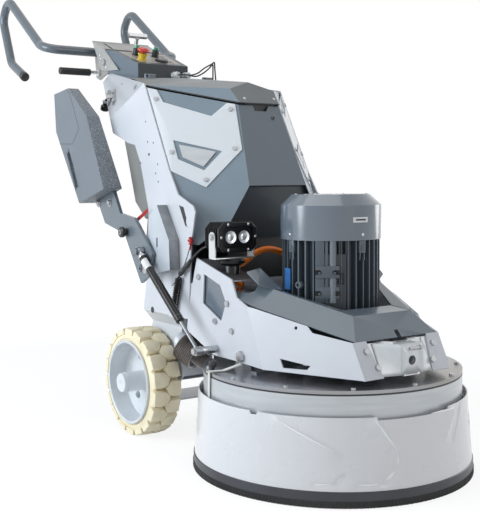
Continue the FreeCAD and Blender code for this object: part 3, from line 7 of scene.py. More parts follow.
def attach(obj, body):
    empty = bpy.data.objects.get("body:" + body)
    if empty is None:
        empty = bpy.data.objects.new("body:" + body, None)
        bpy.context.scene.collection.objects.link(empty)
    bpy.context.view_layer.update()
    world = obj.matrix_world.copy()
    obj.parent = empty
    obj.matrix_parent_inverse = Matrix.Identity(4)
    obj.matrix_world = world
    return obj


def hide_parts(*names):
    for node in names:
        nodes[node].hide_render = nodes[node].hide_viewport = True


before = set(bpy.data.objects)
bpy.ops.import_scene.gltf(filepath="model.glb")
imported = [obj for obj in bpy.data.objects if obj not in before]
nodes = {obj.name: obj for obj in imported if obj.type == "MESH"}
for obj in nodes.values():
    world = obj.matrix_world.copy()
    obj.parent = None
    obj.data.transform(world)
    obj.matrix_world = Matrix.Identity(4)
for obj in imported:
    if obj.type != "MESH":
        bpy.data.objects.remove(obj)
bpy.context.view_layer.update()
headBack = 771.4  # the grinding head's axis stands this far (mm) in front of the machine's middle
hands = (-1, 1)  # left, right
sides = (("left", -1), ("right", 1))


def at(x, y, z):  # millimetres, measured from the head's axis and the floor
    return Vector((x, y - headBack, z)) * 0.001


def addObject(name, data):
    made = bpy.data.objects.new(name, data)
    bpy.context.scene.collection.objects.link(made)
    return made


# camera: from the left front, a little below the console's height
camera = {"place": (-1.9024, -3.0301, 0.8890), "ahead": (0.54372, 0.83674, -0.06508),
          "up": (0.04338, 0.04942, 0.99784), "lens": 65.88, "shift": (0.0499, -0.0221), "end": 60}


def setCamera():
    data = bpy.data.cameras.new("camera")
    data.lens, data.clip_end = camera["lens"], camera["end"]
    data.shift_x, data.shift_y = camera["shift"]
    ahead = Vector(camera["ahead"]).normalized()
    side = ahead.cross(Vector(camera["up"])).normalized()
    turn = Matrix((side, side.cross(ahead), -ahead)).transposed().to_4x4()
    holder = addObject("camera", data)
    holder.matrix_world = Matrix.Translation(camera["place"]) @ turn
    bpy.context.scene.camera = holder


setCamera()


# finishes
def feed(tree, shader, entries):  # each entry is a value or another shader node's output
    for name, value in entries.items():
        if isinstance(value, bpy.types.NodeSocket):
            tree.links.new(value, shader.inputs[name])
        else:
            shader.inputs[name].default_value = value


def shade(tree, kind, entries, out=0, **settings):  # adds a shader node and returns one of its outputs
    made = tree.nodes.new("ShaderNode" + kind)
    for name, value in settings.items():
        setattr(made, name, value)
    feed(tree, made, entries)
    return made.outputs[out]


usual = {"spread": 6.0, "metal": 0.0, "grain": 0.15, "grainSize": 400.0, "coat": 0.0, "coatRough": 0.12,
         "stretch": (1, 1, 1), "depth": 0.0006, "cells": False, "shine": 0.5, "stops": (0.36, 0.66), "fade": 0.93}
# colour, second colour, roughness, and what differs from the usual
finishes = {
    "whitePaint": ((0.63, 0.64, 0.675), (0.6, 0.61, 0.65), (0.28, 0.4), {"coat": 0.15}),
    "panelPaint": ((0.71, 0.73, 0.75), (0.69, 0.71, 0.735), (0.25, 0.35), {"coat": 0.2}),
    "skirtPaint": ((0.74, 0.73, 0.74), (0.725, 0.715, 0.725), (0.22, 0.34), {"spread": 4, "coat": 0.35, "grain": 0.1,
                   "grainSize": 250}),
    "greyPaint": ((0.125, 0.155, 0.182), (0.117, 0.146, 0.173), (0.3, 0.42), {"coat": 0.45}),
    "hoodPaint": ((0.17, 0.185, 0.19), (0.155, 0.17, 0.175), (0.35, 0.5), {"grain": 0.3}),
    "deepGrey": ((0.075, 0.09, 0.105), None, (0.4, 0.55)),
    "motorPaint": ((0.085, 0.105, 0.125), (0.07, 0.09, 0.11), (0.35, 0.5), {"grain": 0.35, "grainSize": 220}),
    "cowlPaint": ((0.14, 0.17, 0.205), (0.13, 0.16, 0.195), (0.14, 0.22), {"coat": 0.6}),
    "zinc": ((0.66, 0.68, 0.7), (0.63, 0.65, 0.67), (0.26, 0.36), {"spread": 30, "metal": 0.9, "cells": True}),
    "boltZinc": ((0.52, 0.53, 0.55), (0.42, 0.43, 0.45), (0.2, 0.35), {"spread": 90, "metal": 1.0}),
    # painted shade: the dark ring round the tow hole
    "holeShade": ((0.035, 0.04, 0.04), (0.05, 0.055, 0.055), (0.35, 0.5), {"metal": 0.6}),
    "noseZinc": ((0.66, 0.68, 0.7), (0.6, 0.63, 0.65), (0.42, 0.52), {"spread": 16, "metal": 0.35}),
    "silverPaint": ((0.56, 0.58, 0.6), (0.5, 0.52, 0.54), (0.25, 0.36), {"metal": 0.35, "coat": 0.2,
                   "stretch": (1, 1, 12)}),
    "lidSteel": ((0.34, 0.36, 0.4), (0.3, 0.29, 0.28), (0.18, 0.32), {"spread": 2.5, "metal": 0.85}),
    "platedLight": ((0.56, 0.6, 0.65), (0.5, 0.54, 0.59), (0.3, 0.4), {"spread": 8, "metal": 0.3}),
    # painted shade and reflection: a darker copy of the plated grey for the bracket's front flange
    "platedShade": ((0.24, 0.25, 0.26), (0.36, 0.37, 0.38), (0.25, 0.4), {"spread": 16, "metal": 0.7}),
    "steel": ((0.45, 0.46, 0.48), (0.36, 0.37, 0.39), (0.25, 0.45), {"spread": 30, "metal": 1.0}),
    # dark steel for the planet disc, tool plates and cover lock; also used as painted shade on the chassis deck and
    # in the weights' grooves
    "darkSteelAndShade": ((0.12, 0.12, 0.13), (0.08, 0.08, 0.085), (0.4, 0.6), {"spread": 20, "metal": 0.6, "grain": 0.4}),
    "chrome": ((0.78, 0.79, 0.8), (0.72, 0.73, 0.75), (0.06, 0.14), {"metal": 1.0, "grain": 0.02}),
    "blackRubber": ((0.018, 0.018, 0.019), (0.03, 0.03, 0.031), (0.5, 0.75), {"grain": 0.5}),
    "blackPlastic": ((0.02, 0.021, 0.023), (0.03, 0.031, 0.033), (0.3, 0.45), {"grain": 0.3}),
    "bandPaint": ((0.032, 0.034, 0.042), (0.045, 0.048, 0.058), (0.3, 0.5), {"spread": 9}),
    "tyreRubber": ((0.93, 0.83, 0.61), (0.82, 0.72, 0.5), (0.6, 0.85), {"spread": 14, "grain": 0.6, "grainSize": 160,
                   "depth": 0.0015}),
    "rimPaint": ((0.7, 0.72, 0.74), (0.63, 0.65, 0.68), (0.35, 0.5), {"spread": 12, "grain": 0.3}),
    # painted highlight: near white for the skirt's fold lines
    "foldHighlight": ((0.96, 0.96, 0.97), None, (0.2, 0.3), {"coat": 0.5}),
    # painted light: a lighter copy of the cover's grey for the side faces that the left lamp lights
    "litSideGrey": ((0.2, 0.255, 0.3), (0.19, 0.24, 0.285), (0.3, 0.42), {"coat": 0.4}),
    # painted light and reflection: a lighter copy of the console's slate for its side faces
    "litSideSlate": ((0.13, 0.165, 0.2), (0.12, 0.15, 0.185), (0.32, 0.45), {"grain": 0.5, "grainSize": 700}),
    # painted shade: a darker grey for the cover's lower front, which faces down
    "shadedRecessGrey": ((0.05, 0.062, 0.074), None, (0.35, 0.5), {"coat": 0.2}),
    "grooveRubber": ((0.5, 0.42, 0.26), (0.42, 0.35, 0.21), (0.7, 0.9), {"spread": 14, "grain": 0.5}),
    "hubPaint": ((0.74, 0.76, 0.78), (0.69, 0.71, 0.74), (0.25, 0.35), {"coat": 0.3}),
    "weightIron": ((0.15, 0.175, 0.205), None, (0.38, 0.5), {"grain": 0.9, "grainSize": 330, "depth": 0.004}),
    # painted shade: a darker copy of the console's slate for its front face
    "shadedFrontSlate": ((0.026, 0.034, 0.042), (0.022, 0.03, 0.038), (0.35, 0.48), {"grain": 0.5, "grainSize": 700}),
    "slatePlastic": ((0.062, 0.076, 0.088), (0.056, 0.07, 0.082), (0.3, 0.42), {"grain": 0.5, "grainSize": 700}),
    "beigePaint": ((0.4, 0.39, 0.37), (0.37, 0.36, 0.345), (0.35, 0.5)),
    "overlayFilm": ((0.36, 0.335, 0.305), (0.4, 0.37, 0.34), (0.4, 0.5)),
    "tankPlastic": ((0.25, 0.25, 0.238), (0.22, 0.22, 0.21), (0.4, 0.55), {"grain": 0.3}),
    "tubePaint": ((0.105, 0.128, 0.15), (0.095, 0.118, 0.14), (0.26, 0.34), {"coat": 0.2, "grain": 0.08}),
    "glossBlack": ((0.008, 0.008, 0.009), None, (0.16, 0.22), {"grain": 0.05, "shine": 0.22}),
    "rodSteel": ((0.2, 0.205, 0.215), (0.16, 0.165, 0.175), (0.2, 0.3), {"metal": 1.0}),
    "redPlastic": ((0.62, 0.035, 0.015), (0.55, 0.03, 0.012), (0.25, 0.35), {"coat": 0.2}),
    "yellowPlastic": ((0.78, 0.55, 0.05), (0.72, 0.5, 0.04), (0.3, 0.4)),
    "greenPlastic": ((0.01, 0.25, 0.14), (0.01, 0.2, 0.11), (0.2, 0.3), {"coat": 0.3}),
    "orangeSheath": ((1.0, 0.225, 0.004), (0.95, 0.2, 0.004), (0.4, 0.5), {"spread": 20}),
    "whitePlastic": ((0.78, 0.78, 0.77), (0.72, 0.72, 0.71), (0.35, 0.5)),
    "blueLabel": ((0.03, 0.14, 0.42), (0.05, 0.2, 0.5), (0.3, 0.4), {"spread": 60}),
    "reflectorSilver": ((0.88, 0.89, 0.9), (0.8, 0.81, 0.82), (0.25, 0.4), {"spread": 140, "metal": 0.7}),
    "lampBlack": ((0.006, 0.006, 0.007), None, (0.22, 0.32), {"grain": 0.1, "shine": 0.3}),
    # painted shade: a darker copy of the column's white for the neck
    "shadedNeckPaint": ((0.43, 0.445, 0.48), (0.41, 0.425, 0.46), (0.3, 0.42), {"coat": 0.15}),
    "padShade": ((0.022, 0.027, 0.033), None, (0.4, 0.55)),
    "lensGlass": ((0.85, 0.87, 0.88), (0.6, 0.63, 0.65), (0.03, 0.08), {"spread": 120, "metal": 0.6}),
    "hosePlastic": ((0.2, 0.165, 0.145), (0.1, 0.085, 0.08), (0.18, 0.3), {"spread": 25, "coat": 0.5}),
    "greyPlastic": ((0.22, 0.23, 0.24), (0.2, 0.21, 0.22), (0.4, 0.5)),
    "redWebbing": ((0.45, 0.02, 0.015), (0.35, 0.015, 0.01), (0.7, 0.9), {"spread": 300, "grain": 0.8}),
    "whiteWebbing": ((0.72, 0.71, 0.68), (0.62, 0.61, 0.58), (0.7, 0.9), {"spread": 300, "grain": 0.8})}

def makeFinish(name, colour, second, rough, changes=None):
    look = {**usual, **(changes or {})}
    made = bpy.data.materials.new(name)
    made.use_nodes = True
    made.diffuse_color = (*colour, 1)
    tree = made.node_tree
    place = shade(tree, "TexCoord", {}, "Object")
    spot = shade(tree, "Mapping", {"Vector": place, "Scale": look["stretch"]})
    if look["cells"]:  # crystal flowers of hot-dip zinc
        amount = shade(tree, "TexVoronoi", {"Vector": spot, "Scale": look["spread"]}, "Color")
    else:
        amount = shade(tree, "TexNoise", {"Vector": spot, "Scale": look["spread"], "Detail": 6})
    ramp = shade(tree, "ValToRGB", {"Fac": amount})
    tints = (colour, second or [v * look["fade"] for v in colour])
    for stop, share, tint in zip(ramp.node.color_ramp.elements, look["stops"], tints):
        stop.position, stop.color = share, (*tint, 1)
    span = shade(tree, "MapRange", {"Value": amount, "To Min": rough[0], "To Max": rough[1]})
    fine = shade(tree, "TexNoise", {"Vector": spot, "Scale": look["grainSize"], "Detail": 3})
    bump = shade(tree, "Bump", {"Height": fine, "Strength": look["grain"], "Distance": look["depth"]})
    feed(tree, tree.nodes["Principled BSDF"], {
        "Base Color": ramp, "Roughness": span, "Normal": bump, "Metallic": look["metal"],
        "Specular IOR Level": look["shine"], "Coat Weight": look["coat"], "Coat Roughness": look["coatRough"]})
    return made


# cast iron: smooth on the faces that look sideways, granular and speckled all round them
iron = {"faces": {"From Min": 0.99, "From Max": 0.9, "To Min": 0.06, "To Max": 0.95}, "speckSize": 300,
        "specks": {"From Min": 0.5, "From Max": 0.68}, "speckColour": (0.5, 0.52, 0.54, 1)}


def speckle(tree):
    place = tree.nodes["Texture Coordinate"].outputs
    aside = shade(tree, "SeparateXYZ", {"Vector": place["Normal"]}, "X")
    size = shade(tree, "Math", {0: aside}, operation="ABSOLUTE")
    share = shade(tree, "MapRange", {"Value": size, **iron["faces"]})
    speck = shade(tree, "TexNoise", {"Vector": place["Object"], "Scale": iron["speckSize"], "Detail": 2})
    bright = shade(tree, "MapRange", {"Value": speck, **iron["specks"]})
    amount = shade(tree, "Math", {0: bright, 1: share}, operation="MULTIPLY")
    plain = tree.nodes["Color Ramp"].outputs["Color"]
    mixed = shade(tree, "Mix", {"Factor": amount, "A": plain, "B": iron["speckColour"]}, "Result", data_type="RGBA")
    feed(tree, tree.nodes["Bump"], {"Strength": share})
    feed(tree, tree.nodes["Principled BSDF"], {"Base Color": mixed})


paints = {name: makeFinish(name, *row) for name, row in finishes.items()}
speckle(paints["weightIron"].node_tree)

paintOf = {
    "bandPaint": "skirt_band", "silverPaint": "drum", "blackRubber": "lid_gasket", "lidSteel": "head_lid",
    "boltZinc": "lid_hardware frame_bolts", "motorPaint": "motor_stator", "cowlPaint": "motor_cowl",
    "steel": "motor_shaft spindle_1 spindle_2 spindle_3 axle", "tankPlastic": "rear_tank",
    "blackPlastic": "motor_fan inverter arm_knob_left arm_knob_right column_knob speed_knob",
    "darkSteelAndShade": "planet_disc tool_plate_1 tool_plate_2 tool_plate_3", "whitePaint": "chassis column",
    "zinc": "front_bracket lamp_bracket", "panelPaint": "side_panels", "slatePlastic": "console_box",
    "greyPaint": "motor_guard cabinet_cover weight_arm_left weight_arm_right", "hoodPaint": "hood",
    "rimPaint": "wheel_left wheel_right", "weightIron": "weight_left weight_right",
    "lampBlack": "gas_cylinder_left gas_cylinder_right", "rodSteel": "gas_rod_left gas_rod_right",
    "beigePaint": "handle_carrier", "tubePaint": "handlebars", "chrome": "t_handle"}
for paint, named in paintOf.items():
    for node in named.split():
        nodes[node].data.materials.clear()
        nodes[node].data.materials.append(paints[paint])


def repaint(node, paint, chosen):  # another finish where chosen(spot in mm, the way the face looks) holds
    mesh = nodes[node].data
    mesh.materials.append(paints[paint])
    for face in mesh.polygons:
        if chosen(face.center * 1000 + Vector((0, headBack, 0)), face.normal):
            face.material_index = len(mesh.materials) - 1


def repaintFaces():
    # painted light: the cover's side faces take the lighter side grey
    repaint("cabinet_cover", "litSideGrey", lambda spot, out: abs(out.x) > 0.5)
    # painted shade: the cover's front faces that lean downwards are painted in the dark recess grey
    repaint("cabinet_cover", "shadedRecessGrey", lambda spot, out: out.y < -0.8 and out.z < -0.15)
    # painted light: the hood's side faces take the lighter side grey too
    repaint("hood", "litSideGrey", lambda spot, out: abs(out.x) > 0.5)
    # painted shade: the neck's faces that lean up and to the side are painted darker
    repaint("column", "shadedNeckPaint", lambda spot, out: spot.z > 1130 and out.z > 0.2 and abs(out.x) > 0.3)
    repaint("column", "platedLight", lambda spot, out: abs(spot.x) > 334 and spot.z > 560)
    # painted shade and reflection: the spring bracket's front flange, facing the camera, in the darker plated grey
    repaint("column", "platedShade", lambda spot, out: 303 < abs(spot.x) < 342 and spot.z > 590 and out.y < -0.3)
    repaint("chassis", "lampBlack", lambda spot, out: spot.z > 590 and hypot(spot.x + 247, spot.y - 188) < 27)
    # the chassis deck's top faces in dark steel: partly a dark plate, partly painted shade between the motor guard
    # and the cover
    repaint("chassis", "darkSteelAndShade", lambda spot, out: spot.z > 585 and out.z > 0.7 and abs(spot.x) < 296)
    # painted shade: the console's front face in the darker slate
    repaint("console_box", "shadedFrontSlate", lambda spot, out: out.y < -0.9 and spot.y > 1032)
    repaint("console_box", "whitePlastic", lambda spot, out: spot.y < 1033.2)
    # painted light and reflection: the console's side faces in the lighter slate
    repaint("console_box", "litSideSlate", lambda spot, out: abs(out.x) > 0.9 and spot.y > 1034)
    repaint("frame_bolts", "blackPlastic", lambda spot, out: 110 < abs(spot.x) < 160 and 890 < spot.y < 920)
    repaint("lid_hardware", "whiteWebbing", lambda spot, out: spot.x < -300 and 45 < spot.y < 113
            and hypot(spot.x + 357, spot.y - 160) > 12)
    repaint("lid_hardware", "blackPlastic", lambda spot, out: hypot(spot.x + 362, spot.y - 128) < 15)
    for side in ("left", "right"):
        repaint("gas_cylinder_" + side, "boltZinc", lambda spot, out: hypot(spot.y - 575, spot.z - 658) < 24)
        repaint("gas_rod_" + side, "boltZinc", lambda spot, out: hypot(spot.y - 198, spot.z - 366) < 17)
        repaint("wheel_" + side, "hubPaint", lambda spot, out: abs(spot.x) > 318
                and hypot(spot.y - 651, spot.z - 191) < 50)


repaintFaces()

# small soft edges (mm) on the sheet metal, castings and moulded boxes
softEdges = {"cabinet_cover": 1.0, "hood": 2.0, "motor_guard": 1.2, "side_panels": 0.8, "console_box": 3.0,
             "weight_left": 3.0, "weight_right": 3.0, "weight_arm_left": 1.2, "weight_arm_right": 1.2,
             "handle_carrier": 1.0, "front_bracket": 1.0, "frame_bolts": 0.7, "lid_hardware": 0.6, "chassis": 0.8,
             "column": 0.8}


def softenEdges():
    for node, width in softEdges.items():
        nodes[node].modifiers.new("weld", "WELD").merge_threshold = 0.00002
        bevel = nodes[node].modifiers.new("bevel", "BEVEL")
        bevel.limit_method = "ANGLE"
        bevel.angle_limit = radians(32)
        bevel.width = width / 1000
        bevel.segments = 2
        bevel.use_clamp_overlap = bevel.harden_normals = True


softenEdges()
print("finishes done")


# shared ways of making pieces; turned outlines, domes and hexagon bolts are in millimetres, all else in metres
def piece(name, mesh, paint, body, replaces=None, angle=35):
    data = bpy.data.meshes.new(name)
    mesh.to_mesh(data)
    mesh.free()
    data.polygons.foreach_set("use_smooth", [True] * len(data.polygons))
    data.set_sharp_from_angle(angle=radians(angle))
    for one in paint.split():
        data.materials.append(paints[one])
    made = addObject(name, data)
    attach(made, body)
    if replaces:
        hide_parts(replaces)
    return made


def placed(point, direction):  # moves to the point and turns +Z to the direction
    return Matrix.Translation(point) @ Vector(direction).to_track_quat("Z", "Y").to_matrix().to_4x4()


def soften(mesh, edges, offset, segments=2):
    bmesh.ops.bevel(mesh, geom=edges, offset=offset, segments=segments, profile=0.5, affect="EDGES", material=-1)


def addBar(mesh, start, end, radius, steps=24, endRadius=None):
    run = end - start
    return bmesh.ops.create_cone(mesh, cap_ends=True, segments=steps, radius1=radius,
                                 radius2=radius if endRadius is None else endRadius, depth=run.length,
                                 matrix=placed(start.lerp(end, 0.5), run))["verts"]


def addRope(mesh, points, radius, steps=8):  # straight bars from point to point
    for start, end in zip(points, points[1:]):
        addBar(mesh, start, end, radius, steps)


def addBlock(mesh, low, high, bevel=0.0):
    size = Matrix.Diagonal((*[abs(v) for v in high - low], 1))
    verts = bmesh.ops.create_cube(mesh, size=1, matrix=Matrix.Translation(low.lerp(high, 0.5)) @ size)["verts"]
    if bevel:
        soften(mesh, list({edge for vert in verts for edge in vert.link_edges}), bevel)


def turned(mesh, outline, place, steps=48):  # (radius, height) spun about place's Z
    verts = [mesh.verts.new((radius / 1000, 0, height / 1000)) for radius, height in outline]
    edges = [mesh.edges.new(pair) for pair in zip(verts, verts[1:])]
    bmesh.ops.spin(mesh, geom=verts + edges, cent=(0, 0, 0), axis=(0, 0, 1), angle=2 * pi, steps=steps,
                   use_merge=True)
    found, ahead = set(verts), list(verts)
    while ahead:
        vert = ahead.pop()
        for link in vert.link_edges:
            other = link.other_vert(vert)
            if other not in found:
                found.add(other)
                ahead.append(other)
    bmesh.ops.remove_doubles(mesh, verts=list(found), dist=1e-5)
    found = [vert for vert in found if vert.is_valid]
    bmesh.ops.recalc_face_normals(mesh, faces=list({face for vert in found for face in vert.link_faces}))
    bmesh.ops.transform(mesh, matrix=place, verts=found)


def turnedPiece(name, outline, place, steps, paint, body, replaces=None, angle=35):
    mesh = bmesh.new()
    turned(mesh, outline, place, steps)
    return piece(name, mesh, paint, body, replaces, angle)


def addHexBolt(mesh, seat, direction, across, height):
    out, across, height = Vector(direction).normalized(), across / 1000, height / 1000
    addBar(mesh, seat, seat + out * 0.0016, across * 0.95)
    head = addBar(mesh, seat + out * 0.001, seat + out * height, across * 0.577, 6)
    tops = {edge for vert in head for edge in vert.link_edges
            if all((end.co - seat).dot(out) > height * 0.9 for end in edge.verts)}
    soften(mesh, list(tops), across * 0.06, 1)


def addDomeBolt(mesh, seat, direction, radius):
    high = radius * 0.62
    turned(mesh, [(0, -1), (radius * 1.25, -1), (radius * 1.25, 1), (radius, 1.2), (radius * 0.92, high * 0.55),
                  (radius * 0.7, high * 0.88), (radius * 0.38, high), (radius * 0.36, high * 0.5), (0, high * 0.5)],
           placed(seat, Vector(direction).normalized()), 20)


def addPlate(mesh, corners, thickness):  # a flat plate on these corners, thickened along their normal
    face = mesh.faces.new([mesh.verts.new(corner) for corner in corners])
    face.normal_update()
    lift = face.normal * thickness
    made = bmesh.ops.extrude_face_region(mesh, geom=[face])["geom"]
    bmesh.ops.translate(mesh, vec=lift, verts=[part for part in made if isinstance(part, bmesh.types.BMVert)])
    found = {vert for part in made if isinstance(part, bmesh.types.BMFace) for vert in part.verts}
    for vert in list(found):
        found.update(edge.other_vert(vert) for edge in vert.link_edges)
    bmesh.ops.recalc_face_normals(mesh, faces=list({face for vert in found for face in vert.link_faces}))


def addStrip(mesh, points, out, width, thickness):  # a flat strip along points, lying on a face that looks out
    out = Vector(out).normalized()
    for start, end in zip(points, points[1:]):
        side = out.cross(end - start).normalized() * (width / 2)
        run = (end - start).normalized() * (width / 2)
        addPlate(mesh, [start - side - run, end - side + run, end + side + run, start + side - run], thickness)


def addDisc(mesh, centre, out, radius):
    out = Vector(out).normalized()
    addBar(mesh, centre - out * 0.0004, centre + out * 0.0006, radius)


def addLoft(mesh, loops, capped=True):  # joins closed loops of corners, first to last
    rings = [[mesh.verts.new(corner) for corner in loop] for loop in loops]
    for first, second in zip(rings, rings[1:]):
        for i in range(len(first)):
            mesh.faces.new((first[i - 1], first[i], second[i], second[i - 1]))
    if capped:
        mesh.faces.new(rings[0])
        mesh.faces.new(rings[-1])
    bmesh.ops.recalc_face_normals(mesh, faces=mesh.faces)


# cords come first; each is one smooth line from the point where it leaves the machine
cords = {
    "consoleCableInner": {"node": "console_cables", "length": 0.247, "diameter": 0.0058, "route": [
        (53.3, 1004.9, 1326), (63.9, 962.2, 1326), (98, 950, 1313), (134, 950, 1329), (166, 950, 1352),
        (184, 951, 1374), (187, 956, 1348), (194, 968, 1302)]},
    "consoleCableOuter": {"node": "console_cables", "length": 0.209, "diameter": 0.0058, "route": [
        (103.3, 1004.9, 1326), (113.9, 962.2, 1326), (140, 950, 1352), (180, 948, 1371), (190, 948, 1381),
        (191, 949, 1355), (198, 952, 1301)]},
    "motorCable": {"node": "motor_cable", "length": 0.488, "diameter": 0.0205, "paint": "orangeSheath",
                   "slot": "cord_orange", "route": [
                       (61.7, 170.2, 645), (8.1, 215.2, 645), (-46, 226, 668), (-92, 218, 673), (-138, 216, 662),
                       (-170, 220, 638), (-206, 224, 618), (-226, 226, 604), (-222, 222, 584), (-186, 216, 556),
                       (-190, 262, 520), (-223.4, 300, 509.4)]},
    "lampCable": {"node": "lamp_cable", "length": 0.132, "diameter": 0.007, "route": [
        (-290, 216.1, 692), (-290, 256, 692), (-310.9, 290.4, 670.5), (-312, 330, 640)]},
    "curlyCord": {"node": "curly_cord", "length": 0.943, "diameter": 0.005, "paint": "lampBlack", "route": [
        (-314, 403, 580.5), (-313, 424, 530), (-312, 445, 456)], "turn": 0.0102, "pitch": 0.0082, "perTurn": 12}}


def routeCurve(name, points, radius=0.0):
    data = bpy.data.curves.new(name, "CURVE")
    data.dimensions = "3D"
    data.resolution_u = 8
    line = data.splines.new("NURBS")
    line.points.add(len(points) - 1)
    for spot, point in zip(line.points, points):
        spot.co = (*point, 1)
    line.order_u = 3
    line.use_endpoint_u = True
    data.bevel_depth = radius
    data.bevel_resolution = 5
    data.use_fill_caps = True
    return data


def routePoints(points):  # the smooth line's own points
    data = routeCurve("line", points)
    holder = bpy.data.objects.new("line", data)
    mesh = bpy.data.meshes.new_from_object(holder)
    found = [vert.co.copy() for vert in mesh.vertices]
    bpy.data.objects.remove(holder)
    bpy.data.meshes.remove(mesh)
    bpy.data.curves.remove(data)
    return found


def lengthOf(points):
    return sum((b - a).length for a, b in zip(points, points[1:]))


def along(route, reach):  # the point this far along a route, and the way the route runs there
    index = 0
    while index < len(route) - 2 and reach > (route[index + 1] - route[index]).length:
        reach -= (route[index + 1] - route[index]).length
        index += 1
    run = (route[index + 1] - route[index]).normalized()
    return route[index] + run * reach, run


def makeCord(name, points, withPieces=()):
    cord = cords[name]
    data = routeCurve(name, points, cord["diameter"] / 2)
    data.materials.append(paints[cord.get("paint", "blackRubber")])
    made = addObject(name, data)
    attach(made, "frame")
    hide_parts(cord["node"])
    print(name, "length", round(lengthOf(routePoints(points)), 4))


def routeOf(name):
    return [at(*point) for point in cords[name]["route"]]


for name in ("consoleCableInner", "consoleCableOuter", "motorCable"):
    makeCord(name, routeOf(name))


boot = {"start": (-190, 214, 559), "end": (-146, 208, 546), "radius": 0.0118, "endRadius": 0.0145, "nut": 0.0165}
connector = {"end": (-314, 400, 586), "rings": 5, "ringStep": 0.0028, "ring": 0.0058, "outline": [
    (0, 0), (4.2, 0), (6.2, 14), (7.8, 18), (7.8, 30), (8.8, 32), (8.8, 46), (7.2, 49), (7.2, 56), (8.6, 58)]}


def makeCableBoot():
    mesh = bmesh.new()
    start, end = at(*boot["start"]), at(*boot["end"])
    addBar(mesh, start, end, boot["radius"], 24, boot["endRadius"])
    addBar(mesh, end, end.lerp(start, -0.5), boot["nut"], 6)
    piece("cableBoot", mesh, "greyPlastic", "frame")


makeCableBoot()


def makeConnector():
    mesh = bmesh.new()
    start, end = routeOf("lampCable")[-1], at(*connector["end"])
    run = (end - start).normalized()
    long = (end - start).length * 1000
    turned(mesh, [*connector["outline"], (8.6, long - 6), (6, long), (0, long)], placed(start, run), 28)
    for count in range(connector["rings"]):
        spot = start + run * (0.002 + connector["ringStep"] * count)
        addBar(mesh, spot, spot + run * connector["ringStep"] / 2, connector["ring"], 20)
    addBlock(mesh, start + run * 0.034 + Vector((-0.004, -0.004, 0.006)),
             start + run * 0.044 + Vector((0.004, 0.004, 0.011)), 0.0012)
    return piece("lampConnector", mesh, "blackPlastic", "frame")


makeCord("lampCable", routeOf("lampCable"), [makeConnector()])


def makeCurlyCord():
    cord, route = cords["curlyCord"], routePoints(routeOf("curlyCord"))
    total = lengthOf(route)
    turns = round(total / cord["pitch"])
    points = []
    for count in range(turns * cord["perTurn"] + 1):
        share = count / (turns * cord["perTurn"])
        spot, run = along(route, share * total)
        side = run.cross(Vector((1, 0, 0))).normalized()
        angle = share * turns * 2 * pi
        swell = min(1.0, share * turns, (1 - share) * turns)
        points.append(spot + (side * cos(angle) + run.cross(side) * sin(angle)) * cord["turn"] * swell)
    makeCord("curlyCord", points)


makeCurlyCord()

# corrugated dust hose and the ribbed sleeve over the stub that it slides into
hose = {"route": [(-199.4, 375.4, 277), (-214.9, 404.6, 277), (-238, 458, 314)], "ribs": 26, "crest": 0.0278,
        "groove": 0.0256, "wall": 0.0016, "sleeveRibs": 11}


def makeHose():
    corners = [at(*point) for point in hose["route"]]
    route = routePoints(corners)
    steps, total = hose["ribs"] * 2, lengthOf(route)
    mesh = bmesh.new()
    loops = []
    for count in range(steps + 1):
        radius = hose["crest" if count % 2 else "groove"]
        ring = bmesh.ops.create_circle(mesh, cap_ends=False, segments=40, radius=radius,
                                       matrix=placed(*along(route, total * count / steps)))["verts"]
        loops.append([edge for edge in mesh.edges if edge.verts[0] in ring and edge.verts[1] in ring])
    for first, second in zip(loops, loops[1:]):
        bmesh.ops.bridge_loops(mesh, edges=first + second)
    bmesh.ops.recalc_face_normals(mesh, faces=mesh.faces)
    made = piece("dustHose", mesh, "hosePlastic", "head", "dust_hose", 80)
    made.modifiers.new("wall", "SOLIDIFY").thickness = hose["wall"]
    outline = [(46.2, -37.5)]
    for count in range(hose["sleeveRibs"]):
        low = -37.5 + 7 * count
        outline += [(50.5, low + 1), (50.5, low + 3.3), (46.4, low + 4.3), (46.4, low + 6.6)]
    outline += [(46.2, 40), (45.5, 40), (45.5, -37.5), (46.2, -37.5)]
    place = placed(corners[-1], (corners[-1] - corners[-2]).normalized())
    turnedPiece("hoseSleeve", outline, place, 56, "hosePlastic", "frame", angle=60)


makeHose()
print("cords done")


# the floating dust skirt, with its pressed facets
skirt = {"bottom": 46, "top": 246, "bottomRadius": 434, "topRadius": 419, "wall": 3, "steps": 540, "rows": 34,
         "notches": [(-112, -78, 9), (-163, -160, 9), (111, 125, 26)], "middle": 427, "behind": 5,
         "gain": 1.6, "deepest": -4.6, "highest": 5.2}
# each crease: start and end as (angle, height), depth of the fold, and how far the facet fades out
creases = [((-152, 239), (-128, 154), 3.4, 60), ((-113.5, 240), (-104.6, 147), 3.0, 55),
           ((-104.6, 147), (-104.5, 107), -2.2, 45), ((-104.5, 107), (-110, 60), -2.6, 45),
           ((-73, 237), (-80.4, 160), 3.2, 55), ((-73, 237), (-89, 240), 1.6, 26),
           ((-137, 62), (-129, 65), -1.6, 22), ((-129, 65), (-125, 94), -2.4, 40),
           ((-121, 64), (-111.4, 62), -1.6, 22), ((-111.4, 62), (-105.2, 101), -2.4, 40),
           ((-28, 239), (-52, 154), -3.4, 60), ((-66.5, 240), (-75.4, 147), -3.0, 55)]


